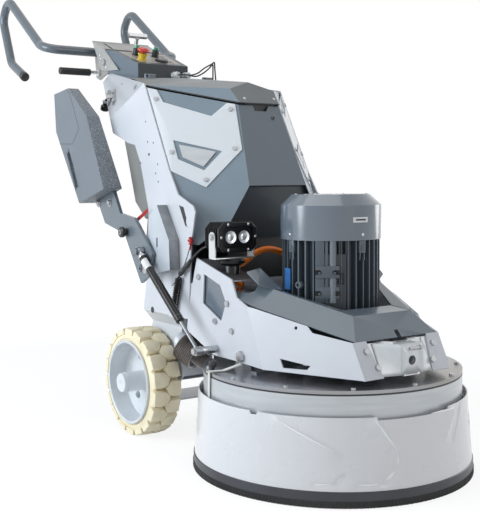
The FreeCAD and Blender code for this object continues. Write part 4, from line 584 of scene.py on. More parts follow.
def facetDepth(angle, height):
    total, middle, behind = 0.0, skirt["middle"], skirt["behind"]
    px, py = radians(angle) * middle, height
    for (angleA, ay), (angleB, by), depth, fade in creases:
        ax, bx = radians(angleA) * middle, radians(angleB) * middle
        long = hypot(bx - ax, by - ay)
        share = ((px - ax) * (bx - ax) + (py - ay) * (by - ay)) / long ** 2
        across = ((px - ax) * (by - ay) - (py - ay) * (bx - ax)) / long
        ends = min(1.0, max(0.0, min(share, 1 - share) * 5 + 0.6)) if -0.12 < share < 1.12 else 0.0
        if 0 <= across < fade:
            total += depth * (1 - across / fade) ** 1.5 * ends
        elif -behind < across < 0:
            total += depth * (1 + across / behind) * ends
    return max(skirt["deepest"], min(skirt["highest"], total * skirt["gain"]))


def skirtRadius(share):  # share of the height, from the bottom up
    return skirt["bottomRadius"] + (skirt["topRadius"] - skirt["bottomRadius"]) * share


def skirtShare(height):
    return (height - skirt["bottom"]) / (skirt["top"] - skirt["bottom"])


def facetRise(angle, height, share):  # the facets' depth, eased out at the skirt's rims
    return facetDepth(angle, height) * min(1.0, share * 12, (1 - share) * 16)


def makeSkirt():
    mesh = bmesh.new()
    shares = [row / skirt["rows"] for row in range(skirt["rows"] + 1)]
    outline = [(skirtRadius(0) - skirt["wall"], skirt["bottom"])]
    outline += [(skirtRadius(share), skirt["bottom"] + (skirt["top"] - skirt["bottom"]) * share) for share in shares]
    outline += [(skirt["topRadius"] - skirt["wall"], skirt["top"]), outline[0]]
    centre = at(0, 0, 0)
    turned(mesh, outline, Matrix.Translation(centre), skirt["steps"])
    for vert in mesh.verts:
        across = vert.co - centre
        radius, height = hypot(across.x, across.y) * 1000, across.z * 1000
        angle, share = degrees(atan2(across.y, across.x)), skirtShare(height)
        if radius > skirtRadius(share) - 1 and 0.02 < share < 0.99:
            moved = radius + facetRise(angle, height, share)
            vert.co.x = centre.x + across.x * moved / radius
            vert.co.y = centre.y + across.y * moved / radius
        for first, last, deep in skirt["notches"]:
            if first - 0.01 <= angle <= last + 0.01 and height > skirt["top"] - deep:
                vert.co.z = (skirt["top"] - deep) / 1000
    piece("skirtShell", mesh, "skirtPaint", "skirt", "skirt_shell", 28)


makeSkirt()


# the brush under it: a solid ring and small tufts in front, each swaying a little its own way
brush = {"ring": [(430, 1.2), (436.8, 1.2), (437.2, 20), (430, 20), (430, 1.2)], "tufts": 620, "low": 0.4,
         "high": 19.6, "tip": 0.4374, "root": 0.4366, "sway": 0.0005, "thin": 0.0017, "thick": 0.0022}


def makeBrush():
    mesh = bmesh.new()
    turned(mesh, brush["ring"], Matrix.Translation(at(0, 0, 0)), 120)
    for count in range(brush["tufts"]):
        angle = 2 * pi * count / brush["tufts"]
        foot = Vector((cos(angle), sin(angle), 0))
        addBar(mesh, at(0, 0, brush["low"]) + foot * (brush["tip"] + brush["sway"] * sin(count * 1.7)),
               at(0, 0, brush["high"]) + foot * (brush["root"] + brush["sway"] * sin(count * 2.399)),
               brush["thin"], 5, brush["thick"])
    piece("skirtBrush", mesh, "blackRubber", "skirt", "skirt_brush")


makeBrush()


def makeFolds():  # the folds' raised edges, painted whiter than the skirt as painted highlight lines
    mesh = bmesh.new()
    steps = 14
    for (angleA, highA), (angleB, highB) in [crease[:2] for crease in creases]:
        path = []
        for count in range(steps + 1):
            share = 0.04 + 0.92 * count / steps
            angle, height = angleA + (angleB - angleA) * share, highA + (highB - highA) * share
            rise = skirtShare(height)
            radius = skirtRadius(rise) + facetRise(angle, height, rise) - 0.5
            path.append(at(radius * cos(radians(angle)), radius * sin(radians(angle)), height))
        for count, (start, end) in enumerate(zip(path, path[1:])):
            addBar(mesh, start, end, 0.0007 + 0.0021 * sin(pi * (count + 0.5) / steps), 8)
    piece("skirtFolds", mesh, "foldHighlight", "skirt", angle=60)


makeFolds()
print("skirt done")


# tyres with two staggered rows of chunky lugs, the wheels' screws and the hub caps
tyre = {"axle": (651, 191), "lugs": 18, "tread": 191, "base": 176, "outer": 378, "inner": 273, "rim": 146,
        "screws": 3, "screwFrom": -50, "screwRing": 84, "screwSeat": 312.1,
        "hubCap": [(0, 395.5), (33, 395.5), (33, 408.5), (31.5, 410.5), (4, 410.5), (2.5, 409.5), (0, 409.5)],
        "lug": [(-0.026, 1.0), (0.026, 1.0), (0.0285, 0.62), (0.0275, 0.20), (0.006, -0.17), (-0.0225, 0.03),
                (-0.029, 0.5)]}


def makeLug(row, half, middle):  # one lug of the outer (1) or inner (-1) row
    base, tread = tyre["base"] / 1000, tyre["tread"] / 1000
    lug = bmesh.new()
    face = lug.faces.new([lug.verts.new((across, share * half * row, 0)) for across, share in tyre["lug"]])
    made = bmesh.ops.extrude_face_region(lug, geom=[face])["geom"]
    for vert in [part for part in made if isinstance(part, bmesh.types.BMVert)]:
        vert.co = (vert.co.x * 0.93, (vert.co.y - 0.25 * half * row) * 0.975 + 0.25 * half * row, 1)
    bmesh.ops.recalc_face_normals(lug, faces=lug.faces)
    for vert in lug.verts:
        vert.co.z = (base - 0.006) if vert.co.z < 0.5 else tread
    soften(lug, [edge for edge in lug.edges if min(v.co.z for v in edge.verts) > base], 0.0016)
    for vert in lug.verts:
        radius = vert.co.z
        if abs(vert.co.y) > half * 0.86 and radius > base:
            radius -= 0.004 * (abs(vert.co.y) / half - 0.86) / 0.14
        turn = vert.co.x / radius + (pi / tyre["lugs"] if row > 0 else 0.0)
        vert.co = (radius * cos(turn), radius * sin(turn), middle + vert.co.y)
    single = bpy.data.meshes.new("lug")
    lug.to_mesh(single)
    lug.free()
    return single


def makeTyre(side, hand):
    mesh = bmesh.new()
    place = placed(at(0, *tyre["axle"]), (hand, 0, 0))
    inner, outer, base, rim = tyre["inner"], tyre["outer"], tyre["base"], tyre["rim"]
    turned(mesh, [(rim, inner), (rim + 6, inner), (166, inner + 2), (base - 4, inner + 6), (base, inner + 12),
                  (base, outer - 12), (base - 4, outer - 6), (166, outer - 2), (rim + 8, outer),
                  (rim + 5, outer - 3), (rim, outer - 3), (rim, inner)], place, 96)
    middle, half = (inner / 1000 + outer / 1000) / 2, (outer / 1000 - inner / 1000) / 2
    for face in mesh.faces:  # the bottoms of the grooves are painted a darker rubber colour
        spot = face.calc_center_median() - place.translation
        if hypot(spot.y, spot.z) > base / 1000 - 0.002 and abs(abs(spot.x) - middle) < half - 0.008:
            face.material_index = 1
    for row in (-1, 1):
        single = makeLug(row, half, middle)
        for count in range(tyre["lugs"]):
            before = set(mesh.verts)
            mesh.from_mesh(single)
            bmesh.ops.transform(mesh, verts=[vert for vert in mesh.verts if vert not in before],
                                matrix=place @ Matrix.Rotation(2 * pi * count / tyre["lugs"], 4, "Z"))
        bpy.data.meshes.remove(single)
    if hand < 0:
        bmesh.ops.recalc_face_normals(mesh, faces=mesh.faces)
    body, title = side + "_wheel", side.title()
    piece("tyre" + title, mesh, "tyreRubber grooveRubber", body, "tyre_" + side, 40)
    screws, ring, (y, z) = bmesh.new(), tyre["screwRing"], tyre["axle"]
    for count in range(tyre["screws"]):
        angle = radians(tyre["screwFrom"] + 360 / tyre["screws"] * count)
        spot = at(hand * tyre["screwSeat"], y + ring * cos(angle), z + ring * sin(angle))
        addHexBolt(screws, spot, (hand, 0, 0), 14, 8)
    turnedPiece("hubCap" + title, tyre["hubCap"], place, 56, "hubPaint", "frame")
    piece("rimScrews" + title, screws, "boltZinc", body)


for side, hand in sides:
    makeTyre(side, hand)
print("wheels done")


# studio: pale floor, one broad lamp from the left, one overhead, two weak fills
studio = {"floor": 14.0, "world": (0.84, 0.92, 1.0, 1), "ambient": 0.36, "white": (1, 1, 1, 1), "glow": 1.1,
          "matt": (0.8, 0.8, 0.8, 1), "floorShare": {"To Min": 0.78, "To Max": 1.0, "From Min": 1.7, "From Max": 3.2},
          "lamps": [("leftLamp", (-4.2, 0.9, 1.9), (0, 0, 0.7), 2.8, 165, (0.86, 0.94, 1.0)),
                    ("topLamp", (-0.2, 0.1, 4.6), (0, 0, 0.6), 3.2, 34, (1.0, 0.99, 0.97)),
                    ("frontLamp", (0.3, -5.2, 2.2), (0, 0, 0.6), 2.6, 42, (1.0, 0.98, 0.96)),
                    ("rightLamp", (4.0, -0.8, 1.6), (0, 0, 0.6), 2.4, 42, (0.95, 0.98, 1.0))]}


def seenDirectly(tree):  # 1 for what the camera, a mirror or glass shows
    ray = tree.nodes.new("ShaderNodeLightPath").outputs
    first = shade(tree, "Math", {0: ray["Is Camera Ray"], 1: ray["Is Glossy Ray"]}, operation="MAXIMUM")
    return shade(tree, "Math", {0: first, 1: ray["Is Transmission Ray"]}, operation="MAXIMUM")


def mixInto(tree, result, share, hidden, seen):
    choose = shade(tree, "MixShader", {0: share, 1: hidden, 2: seen})
    feed(tree, tree.nodes.new("ShaderNodeOutput" + result), {"Surface": choose})


def makeStudio():
    world = bpy.data.worlds.new("studio")
    bpy.context.scene.world = world
    world.use_nodes = True
    tree = world.node_tree
    tree.nodes.clear()
    light = shade(tree, "Background", {"Color": studio["world"], "Strength": studio["ambient"]})
    white = shade(tree, "Background", {"Color": studio["white"], "Strength": 1})
    mixInto(tree, "World", seenDirectly(tree), light, white)

    floorLook = bpy.data.materials.new("floorLook")
    floorLook.use_nodes = True
    tree = floorLook.node_tree
    tree.nodes.clear()
    matt = shade(tree, "BsdfDiffuse", {"Color": studio["matt"]})
    glow = shade(tree, "Emission", {"Color": studio["white"], "Strength": studio["glow"]})
    place = shade(tree, "TexCoord", {}, "Object")
    away = shade(tree, "VectorMath", {0: place}, "Value", operation="LENGTH")
    nearFar = shade(tree, "MapRange", {"Value": away, **studio["floorShare"]})
    share = shade(tree, "Math", {0: seenDirectly(tree), 1: nearFar}, operation="MULTIPLY")
    mixInto(tree, "Material", share, matt, glow)
    mesh = bmesh.new()
    bmesh.ops.create_grid(mesh, x_segments=1, y_segments=1, size=studio["floor"])
    data = bpy.data.meshes.new("floor")
    mesh.to_mesh(data)
    mesh.free()
    data.materials.append(floorLook)
    addObject("floor", data)

    for name, place, aim, size, power, colour in studio["lamps"]:
        data = bpy.data.lights.new(name, "AREA")
        data.shape, data.size, data.energy, data.color = "DISK", size, power, colour
        turn = placed((0, 0, 0), Vector(place) - Vector(aim))
        addObject(name, data).matrix_world = Matrix.Translation(place) @ turn
    bpy.context.scene.view_settings.view_transform = "Standard"


makeStudio()
print("studio done")


# the water tank fills the space between the column's plates and stands out behind them
tank = {"half": 287, "profile": [(838, 1052), (700, 1052), (640, 770), (684, 762), (757, 822), (823, 1013)]}


def makeTank():
    mesh = bmesh.new()
    addPlate(mesh, [at(-tank["half"], y, z) for y, z in tank["profile"]], 0.001)
    low = min(vert.co.x for vert in mesh.verts)
    for vert in mesh.verts:
        vert.co.x = (-1 if vert.co.x - low < 0.0005 else 1) * tank["half"] / 1000
    soften(mesh, list(mesh.edges), 0.008, 3)
    bmesh.ops.recalc_face_normals(mesh, faces=mesh.faces)
    piece("waterTank", mesh, "tankPlastic", "frame", "rear_tank")


makeTank()


# controls on the console's sloping panel: outlines are (radius, height over the panel), border and film are
# corners on it, and marks are (x, y, width, depth)
console = {"slope": radians(20.5), "front": 1034, "frontHeight": 1366, "lift": 0.00028,
           "stop": (-66, 1092), "starts": {"left": (-50, 1172), "right": (34, 1162)}, "dial": (20, 1084),
           "pull": (-32, 1214), "pointer": ((0, 0.006, 0.0022), (0, 0.021, 0.0079)), "ribs": 24,
           "glands": (46, 96), "glandRun": (0.25, -1, 0),
           "stopCollar": [(9.4, 0.2), (20, 0.2), (20, 3), (16.5, 5), (16.5, 17), (19.5, 22), (19.5, 26.5),
                          (15.5, 27.5), (13, 24), (9.4, 22), (9.4, 0.2)],
           "stopCap": [(0, 10), (8.8, 10), (8.8, 32.5), (17, 33.6), (23.2, 35.4), (24, 37.4), (24, 41), (22, 45),
                       (17, 49), (9, 50.8), (0, 51)],
           "startCollar": [(8.2, 0.2), (17, 0.2), (17, 3.6), (14, 4.2), (14, 22), (13.4, 22.4), (13.4, 24),
                           (14, 24.4), (14, 27), (12.4, 27.6), (11.4, 26.6), (8.2, 20), (8.2, 0.2)],
           "startCap": [(0, 7), (8, 7), (8, 27.8), (10.8, 30), (11, 37.5), (9.4, 40.6), (5, 41.8), (0, 42)],
           "pullStem": [(0, 2), (10.5, 2), (10.5, 6), (8.5, 8), (8.5, 56), (9.8, 60), (0, 60)],
           "gland": [(0, 12), (12.8, 12), (13.6, 15), (13.6, 24), (12, 29), (7.5, 30.8), (0, 30.8)],
           "border": [(-103, 1046), (103, 1046), (119, 1222), (-119, 1222)],
           "film": [(-95, 1054), (95, 1054), (110, 1214), (-110, 1214)],
           "marks": [(-66, 1124, 26, 4), (60, 1084, 20, 34), (-50, 1196, 24, 4), (34, 1188, 24, 4),
                     (72, 1172, 22, 20)]}
panelUp = Vector((0, -sin(console["slope"]), cos(console["slope"])))


def onPanel(x, y):
    return at(x, y, console["frontHeight"] + (y - console["front"]) * tan(console["slope"]))


def onStem(name, outline, spot, paint, body, replaces=None, steps=36):
    turnedPiece(name, console[outline], placed(onPanel(*spot), panelUp), steps, paint, body, replaces)


def makeControls():
    onStem("stopCollar", "stopCollar", console["stop"], "yellowPlastic", "frame", "emergency_stop")
    onStem("stopCap", "stopCap", console["stop"], "redPlastic", "stop_button", "emergency_stop", 48)
    for side, spot in console["starts"].items():
        node, body, title = "green_button_" + side, "start_button_" + side, side.title()
        onStem("startCollar" + title, "startCollar", spot, "blackPlastic", "frame", node)
        onStem("startCap" + title, "startCap", spot, "greenPlastic", body, node)

    sheet = bmesh.new()
    addPlate(sheet, [onPanel(x, y) - panelUp * 0.0002 for x, y in console["border"]], 0.00035)
    piece("panelBorder", sheet, "blackPlastic", "frame")
    sheet = bmesh.new()
    addPlate(sheet, [onPanel(x, y) for x, y in console["film"]], console["lift"])
    piece("panelFilm", sheet, "overlayFilm", "frame")
    marks = bmesh.new()
    for x, y, wide, deep in console["marks"]:
        corners = [onPanel(x + wide / 2 * i, y + deep / 2 * j) for i, j in ((-1, -1), (1, -1), (1, 1), (-1, 1))]
        addPlate(marks, [corner + panelUp * console["lift"] for corner in corners], 0.0002)
    piece("panelMarks", marks, "blackPlastic", "frame")

    pointer, ribs = bmesh.new(), bmesh.new()
    centre, across = onPanel(*console["dial"]), Vector((1, 0, 0))
    points = [centre + panelUp * 0.0109 + Vector(step) for step in console["pointer"]]
    addStrip(pointer, points, panelUp, 0.003, 0.0004)
    piece("speedPointer", pointer, "whitePlastic", "speed_dial")
    for count in range(console["ribs"]):
        angle = 2 * pi * count / console["ribs"]
        out = across * cos(angle) + panelUp.cross(across) * sin(angle)
        addBar(ribs, centre + out * 0.0258 + panelUp * 0.001, centre + out * 0.0252 + panelUp * 0.0078, 0.0012, 6)
    piece("speedRibs", ribs, "blackPlastic", "speed_dial")
    onStem("pullStem", "pullStem", console["pull"], "chrome", "pull_handle", steps=28)

    glands = bmesh.new()
    run = Vector(console["glandRun"]).normalized()
    for x in console["glands"]:
        root = at(x, 1034, 1326)
        addBar(glands, root, root + run * 0.007, 0.0148, 6)
        turned(glands, console["gland"], placed(root, run), 20)
    piece("cableGlands", glands, "whitePlastic", "frame")


makeControls()
print("controls done")


# release lever: chromed rod with a ribbed black grip; and the small parts of the handle
lever = {"place": (0, 1425, 1368), "ribs": 30, "ribFrom": 148, "ribTo": 268,
         "rod": [(0, 40), (8.5, 40), (9, 41), (9, 92.5), (13.8, 92.5), (13.8, 101.5), (9, 102.5), (9, 140), (0, 140)],
         "gripStart": [(0, 137.2), (12.8, 137.2), (15, 139), (15, 146)],
         "gripEnd": [(15, 270), (15, 275), (13.5, 277), (0, 277)]}
handle = {"end": (1720, 1368), "bend": (1878, 1444), "half": 314, "plate": 135.2,
          "cap": [(0, -22), (19.6, -22), (20.2, -21), (20.2, 0.5), (18.6, 4), (12, 5.2), (0, 5.2)],
          "screws": [(1334, 1431), (1324, 1414), (1280, 1375)]}


def makeHandleDetails():
    place = placed(at(*lever["place"]), (-1, 0, 0))
    turnedPiece("leverRod", lever["rod"], place, 32, "chrome", "lever", "release_lever")
    outline = list(lever["gripStart"])
    step = (lever["ribTo"] - lever["ribFrom"]) / lever["ribs"]
    for count in range(lever["ribs"]):
        low = lever["ribFrom"] + step * count
        outline += [(13.8, low), (13.8, low + step * 0.35), (14.9, low + step * 0.5), (14.9, low + step * 0.9)]
    outline += lever["gripEnd"]
    turnedPiece("leverGrip", outline, place, 40, "blackRubber", "lever", "release_lever", 50)
    caps, screws = bmesh.new(), bmesh.new()
    run = (at(0, *handle["end"]) - at(0, *handle["bend"])).normalized()
    for hand in hands:
        turned(caps, handle["cap"], placed(at(hand * handle["half"], *handle["end"]), run), 40)
        for y, z in handle["screws"]:
            addDomeBolt(screws, at(hand * handle["plate"], y, z), (hand, 0, 0), 4.2)
    piece("barEnds", caps, "blackPlastic", "handle")
    piece("carrierScrews", screws, "boltZinc", "handle")


makeHandleDetails()
print("handle done")


# work lamp: ribbed black housing, bolted bezel, two reflectors, strap bracket on a round foot
lampHead = {"place": (-247, 188, 720), "half": 71, "high": 47, "front": -37, "back": 58, "corner": 19, "gap": 25,
            "screws": [(-38, 40), (38, 40), (-38, -40), (38, -40), (64, 0), (-64, 0)], "footHeight": 599.5,
            "foot": -65, "strap": 17, "ribs": range(-24, 47, 10), "upright": range(-44, 45, 11),
            "reflector": [(0, 0.4), (9, 0.4), (15.5, 1), (18.4, 2.6), (19.8, 2.8), (19.8, 0)],
            "lens": [(11.2, 0.6), (10.8, 1.6), (8, 2.4), (4, 2.7), (0, 2.8)],
            "disc": [(0, 31), (34, 31), (36, 34), (41, 38), (42, 45), (38, 50.5), (26, 51.5), (0, 51.5)]}


def inLamp(x, depth, z):
    return at(lampHead["place"][0] + x, lampHead["place"][1] + depth, lampHead["place"][2] + z)


def octagon(inset, depth, cut=lampHead["corner"]):  # the housing's outline drawn in, at a depth behind its middle
    half, high = lampHead["half"] - inset, lampHead["high"] - inset
    return [inLamp(x, depth, z) for x, z in (
        (-half + cut, -high), (half - cut, -high), (half, -high + cut), (half, high - cut),
        (half - cut, high), (-half + cut, high), (-half, high - cut), (-half, -high + cut))]


def makeLamp():
    half, high, front, back = [lampHead[key] for key in ("half", "high", "front", "back")]
    mesh = bmesh.new()
    addLoft(mesh, [octagon(9, back), octagon(4, back - 5), octagon(4, front + 12)])
    for depth in lampHead["ribs"]:  # cooling ribs round the housing
        addLoft(mesh, [octagon(inset, depth + away) for inset, away in ((5, -2), (1, -1.6), (1, 1.6), (5, 2))],
                capped=False)
    for x in lampHead["upright"]:  # and upright ones at the back
        addBlock(mesh, inLamp(x - 1.5, back - 3, 14 - high), inLamp(x + 1.5, back + 8, high - 14), 0.0006)
    piece("lampHousing", mesh, "lampBlack", "lamp", "lamp_head")
    mesh = bmesh.new()
    addLoft(mesh, [octagon(1, front + 14), octagon(0, front + 11), octagon(0, front + 3), octagon(2.5, front),
                   octagon(14, front, 8), octagon(16, front + 5, 8), octagon(16, front + 8, 8)], capped=False)
    piece("lampBezel", mesh, "lampBlack", "lamp", "lamp_head")
    mesh = bmesh.new()
    for x, z in lampHead["screws"]:
        addDomeBolt(mesh, inLamp(x, front, z), (0, -1, 0), 3.6)
    piece("lampScrews", mesh, "boltZinc", "lamp")
    window, reflectors, lenses = bmesh.new(), bmesh.new(), bmesh.new()
    addPlate(window, octagon(15, front + 7.5, 8), 0.0004)
    for hand in hands:
        place = placed(inLamp(hand * lampHead["gap"], front + 7.2, 0), (0, -1, 0))
        turned(reflectors, lampHead["reflector"], place, 40)
        turned(lenses, lampHead["lens"], place, 32)
    piece("lampWindow", window, "glossBlack", "lamp")
    piece("lampReflectors", reflectors, "reflectorSilver", "lamp")
    piece("lampLenses", lenses, "lensGlass", "lamp")

    mesh, bolts = bmesh.new(), bmesh.new()
    low, strap = lampHead["foot"], lampHead["strap"]
    arch = [(-strap * cos(radians(turn)), strap * sin(radians(turn))) for turn in range(0, 181, 15)]
    for hand in hands:
        start = len(mesh.verts)
        addPlate(mesh, [inLamp(hand * (half + 0.6), depth, z) for depth, z in [(-strap, low), *arch, (strap, low)]],
                 0.004)
        mesh.verts.ensure_lookup_table()
        middle = sum((vert.co for vert in mesh.verts[start:]), Vector()) / (len(mesh.verts) - start)
        if (middle - inLamp(hand * (half + 0.6), 0, 0)).x * hand < 0:
            bmesh.ops.translate(mesh, vec=(hand * 0.004, 0, 0), verts=mesh.verts[start:])
        addHexBolt(bolts, inLamp(hand * (half + 4.6), 0, 0), (hand, 0, 0), 13, 6)
    addBlock(mesh, inLamp(-half - 4.6, -strap, low - 4), inLamp(half + 4.6, strap, low), 0.001)
    piece("lampStrap", mesh, "zinc", "lamp_swivel", "lamp_bracket")
    foot = Matrix.Translation(at(*lampHead["place"][:2], lampHead["footHeight"]))
    turnedPiece("lampFoot", lampHead["disc"], foot, 44, "lampBlack", "lamp_swivel")
    piece("lampPivotBolts", bolts, "boltZinc", "lamp_swivel")


makeLamp()
print("lamp done")


# plates, screws and an eye on the motor (mm and degrees); its mounting pads and lugs (metres), built at the
# right and then turned about the head: a rib is (from, to, how far it stands out, soft edge)
motor = {"cowl": 157.0, "plate": [-105 + 19.5 * count / 6 for count in range(7)],
         "tag": [163 + 3.4 * count for count in range(5)], "eyeTurn": -169, "eyeHeight": 578,
         "eye": [(6, -10), (12.5, -10), (12.5, 4), (10.5, 7), (6, 7), (6, -10)],
         "rimScrews": (-135, -100, -60, -20, 30, 75, 120, 165, -170), "sideScrews": (-92.2, -182.2, -2.2, 87.8)}
pad = {"turn": -130, "face": 0.1500, "bottom": 0.528, "top": 0.7135,
       "ribs": [(-0.046, -0.019, 0.003, 0.0008), (-0.0165, -0.008, 0.002, 0.0006), (0.0315, 0.0335, 0.002, 0.0004),
                (0.0445, 0.0465, 0.0005, 0.0004)],
       "clamps": [(0.603, 0.0075), (0.540, 0.0045)], "notches": [(-0.0465, -0.034), (0.0265, 0.012)],
       "notchEnd": (0.017, 0.0004, 0.007, 28), "bolt": (0.015, 0.0022, 0.0042, 6),
       "roundRib": (0.007, 0.0105), "lugs": (-180, -92.6, -4, 86)}


def aroundMotor(angle, radius, z):
    return at(radius * cos(radians(angle)), radius * sin(radians(angle)), z)


def bentPlate(name, angles, levels, radii, paint):  # a thin plate bent round the motor
    mesh = bmesh.new()
    addLoft(mesh, [[aroundMotor(angle, radius, levels[0]) for angle in angles]
                   + [aroundMotor(angle, radius, levels[1]) for angle in angles[::-1]] for radius in radii])
    piece(name, mesh, paint, "head", angle=20)


def makeHeadDetails():
    plate, cowl = motor["plate"], motor["cowl"] + 0.1
    bentPlate("blankPlate", plate, (768, 784), (cowl - 0.6, cowl + 1.2), "whitePlastic")
    bentPlate("blankPlateFace", plate[1:-1], (773.5, 778.5), (cowl + 0.4, cowl + 1.5), "blackPlastic")
    screws = bmesh.new()
    for angle in motor["sideScrews"]:
        out = aroundMotor(angle, 1, 0) - aroundMotor(angle, 0, 0)
        addDomeBolt(screws, aroundMotor(angle, motor["cowl"] - 0.4, 731), out, 3.8)
    for angle in motor["rimScrews"]:
        addDomeBolt(screws, aroundMotor(angle, 117, 852), (0, 0, 1), 3)
    piece("cowlScrews", screws, "steel", "head")
    bentPlate("motorTag", motor["tag"], (560, 626), (152.2, 153.2), "blueLabel")
    out = (aroundMotor(motor["eyeTurn"], 1, 0) - aroundMotor(motor["eyeTurn"], 0, 0)).normalized()
    place = placed(aroundMotor(motor["eyeTurn"], 150, motor["eyeHeight"]), out)
    turnedPiece("motorEye", motor["eye"], place, 28, "motorPaint", "head")


makeHeadDetails()


def aboutHead(turn):
    return Matrix.Translation(at(0, 0, 0)) @ Matrix.Rotation(radians(turn), 4, "Z")


def makeMotorPads():
    mesh, rib, slots, bolts = bmesh.new(), bmesh.new(), bmesh.new(), bmesh.new()
    face, low, high = pad["face"], pad["bottom"], pad["top"]
    for first, last, out, bevel in pad["ribs"]:
        addBlock(mesh, Vector((face - 0.012, first, low)), Vector((face + out, last, high)), bevel)
    aside, radius = pad["roundRib"]
    # the round rib takes the lighter, glossier grey: its lighter colour is a painted highlight
    addBar(rib, Vector((face - 0.003, aside, low)), Vector((face - 0.003, aside, high)), radius, 28)
    for level, out in pad["clamps"]:  # clamp plates, each with an open notch and a bolt at either end
        addBlock(mesh, Vector((face, -0.046, level)), Vector((face + out, 0.026, level + 0.036)), 0.001)
        # the open notches are filled with black blocks and bars: painted shade inside them
        for outer, inner in pad["notches"]:
            addBlock(slots, Vector((face + 0.004, min(outer, inner), level + 0.010)),
                     Vector((face + out + 0.0004, max(outer, inner), level + 0.024)), 0.0002)
            for bars, (up, reach, radius, steps) in ((slots, pad["notchEnd"]), (bolts, pad["bolt"])):
                addBar(bars, Vector((face + 0.004, inner, level + up)),
                       Vector((face + out + reach, inner, level + up)), radius, steps)
    for name, part, paint, slot in (("motorPads", mesh, "motorPaint", "motor_cast"),
                                    ("motorRoundRib", rib, "greyPaint", "motor_cast"),
                                    ("padNotchShade", slots, "lampBlack", "motor_cast"),
                                    ("padBolts", bolts, "motorPaint", "bolt_zinc")):
        bmesh.ops.transform(part, matrix=aboutHead(pad["turn"]), verts=part.verts)
        piece(name, part, paint, "head")
    outward = Vector((cos(radians(pad["turn"])), sin(radians(pad["turn"])), 0))
    repaint("motor_stator", "padShade", lambda spot, out: out.dot(outward) > 0.95 and spot.dot(outward) > 146)
    lugs = bmesh.new()
    for turn in pad["lugs"]:
        start = set(lugs.verts)
        addBlock(lugs, Vector((0.138, -0.012, 0.676)), Vector((0.1565, 0.012, 0.7135)), 0.001)
        addBar(lugs, Vector((0.150, 0, 0.692)), Vector((0.1585, 0, 0.692)), 0.0062, 6)
        for hand in hands:
            addBar(lugs, Vector((0.1535, 0.007 * hand, 0.678)), Vector((0.1535, 0.009 * hand, 0.655)), 0.0019, 8)
        bmesh.ops.transform(lugs, matrix=aboutHead(turn), verts=[vert for vert in lugs.verts if vert not in start])
    piece("motorLugs", lugs, "motorPaint", "head")


makeMotorPads()


# nose bracket: a smooth plated skin from the flanges to the wide face of the tow block
nose = {"half": 42, "wing": 99, "face": -356.8, "low": 342, "high": 430.5, "holeZ": 382, "hole": 12.5,
        "sheet": 0.003, "around": 40, "across": 14, "up": 8, "stud": (-360.4, 417),
        "lean": 0.51, "leanFrom": 339, "flange": -341.5,
        "studBars": [(-13, 36, 0.0042, 20), (26, 28, 0.0068, 24), (28.2, 35, 0.0062, 6)]}


def makeNoseSkin():
    mesh = bmesh.new()
    half, face, low, high, level, hole = [nose[key] for key in ("half", "face", "low", "high", "holeZ", "hole")]
    outer, rim, back = [], [], []
    corners = [atan2(z - level, x) for x, z in ((half, high), (-half, high), (-half, low), (half, low))]
    for turn in sorted([2 * pi * count / nose["around"] - pi for count in range(nose["around"])] + corners):
        aside, up = cos(turn), sin(turn)
        reach = min(half / abs(aside) if abs(aside) > 1e-6 else 1e6, (high - level) / up if up > 1e-6 else 1e6,
                    (low - level) / up if up < -1e-6 else 1e6)
        outer.append(at(aside * reach, face, level + up * reach))
        rim.append(at(aside * hole, face, level + up * hole))
        back.append(at(aside * (hole - 1.2), face + 0.7, level + up * (hole - 1.2)))
    addLoft(mesh, [outer, rim, back], capped=False)
    across = nose["across"]
    for hand in hands:
        rows = []
        for row in range(nose["up"] + 1):
            z = low + (high - low) * row / nose["up"]
            flange = nose["lean"] * (z - nose["leanFrom"]) + nose["flange"]  # the sloping flange at this height
            rows.append([])
            for step in range(across + 1):
                share = step / across
                ease = 0.75 * share + 0.25 * sin(share * pi / 2)
                x = half + (nose["wing"] - half) * share
                rows[-1].append(mesh.verts.new(at(hand * x, face + (flange - face) * ease, z)))
        for first, second in zip(rows, rows[1:]):
            for step in range(across):
                mesh.faces.new((first[step], first[step + 1], second[step + 1], second[step]))
    mesh.normal_update()
    for part in mesh.faces:
        if part.normal.y > 0:
            part.normal_flip()
    skin = piece("noseSkin", mesh, "noseZinc", "frame", angle=18)
    thick = skin.modifiers.new("sheet", "SOLIDIFY")
    thick.thickness, thick.offset = nose["sheet"], -1
    # a dark flat ring round the tow hole's edge: painted shade that makes the bore look wider and deeper
    turnedPiece("towHoleShadeRing", [(10.4, 0), (hole + 0.8, 0), (hole + 0.8, 0.4), (10.4, 0.2), (10.4, 0)],
                placed(at(0, face, level), (0, -1, 0)), 40, "holeShade", "frame")
    mesh = bmesh.new()
    for start, end, radius, steps in nose["studBars"]:
        addBar(mesh, at(start, *nose["stud"]), at(end, *nose["stud"]), radius, steps)
    piece("noseStud", mesh, "boltZinc", "frame")


makeNoseSkin()
print("nose done")


# frame: holes and slots in the sheets, latch, backing plates, lock, strap and tie
sheet = {"half": 300, "slot": [(422, 817), (393, 811), (376, 775), (381, 745)],
         "holes": [(591, 1031, 3), (631, 1036, 3), (623, 992, 5), (684, 964, 3), (562, 956, 3), (577, 925, 3),
                   (559, 896, 3), (643, 1107, 3), (613, 445, 11)],
         "window": [(281, 608), (172, 580), (135, 517), (168, 447), (289, 493)],
         "inset": [(490, 1022), (386, 995), (402, 945), (466, 978)],
         "cover": [(-300, 645, 1226), (-300, 488, 934), (-125, 271, 880)],
         "recess": ((-52, 388, 1120), (70, 392, 1165))}
neck = {"plane": [(-300, 652, 1242), (-300, 920, 1133), (-120, 1290, 1340)],
        "latch": [(-182, 1172, 1265), (-216, 1031, 1255), (-269, 930, 1191), (-242, 1046, 1197)], "shrink": 0.66,
        "hole": (-218, 975, 1273), "bolt": (-283, 747, 1238)}
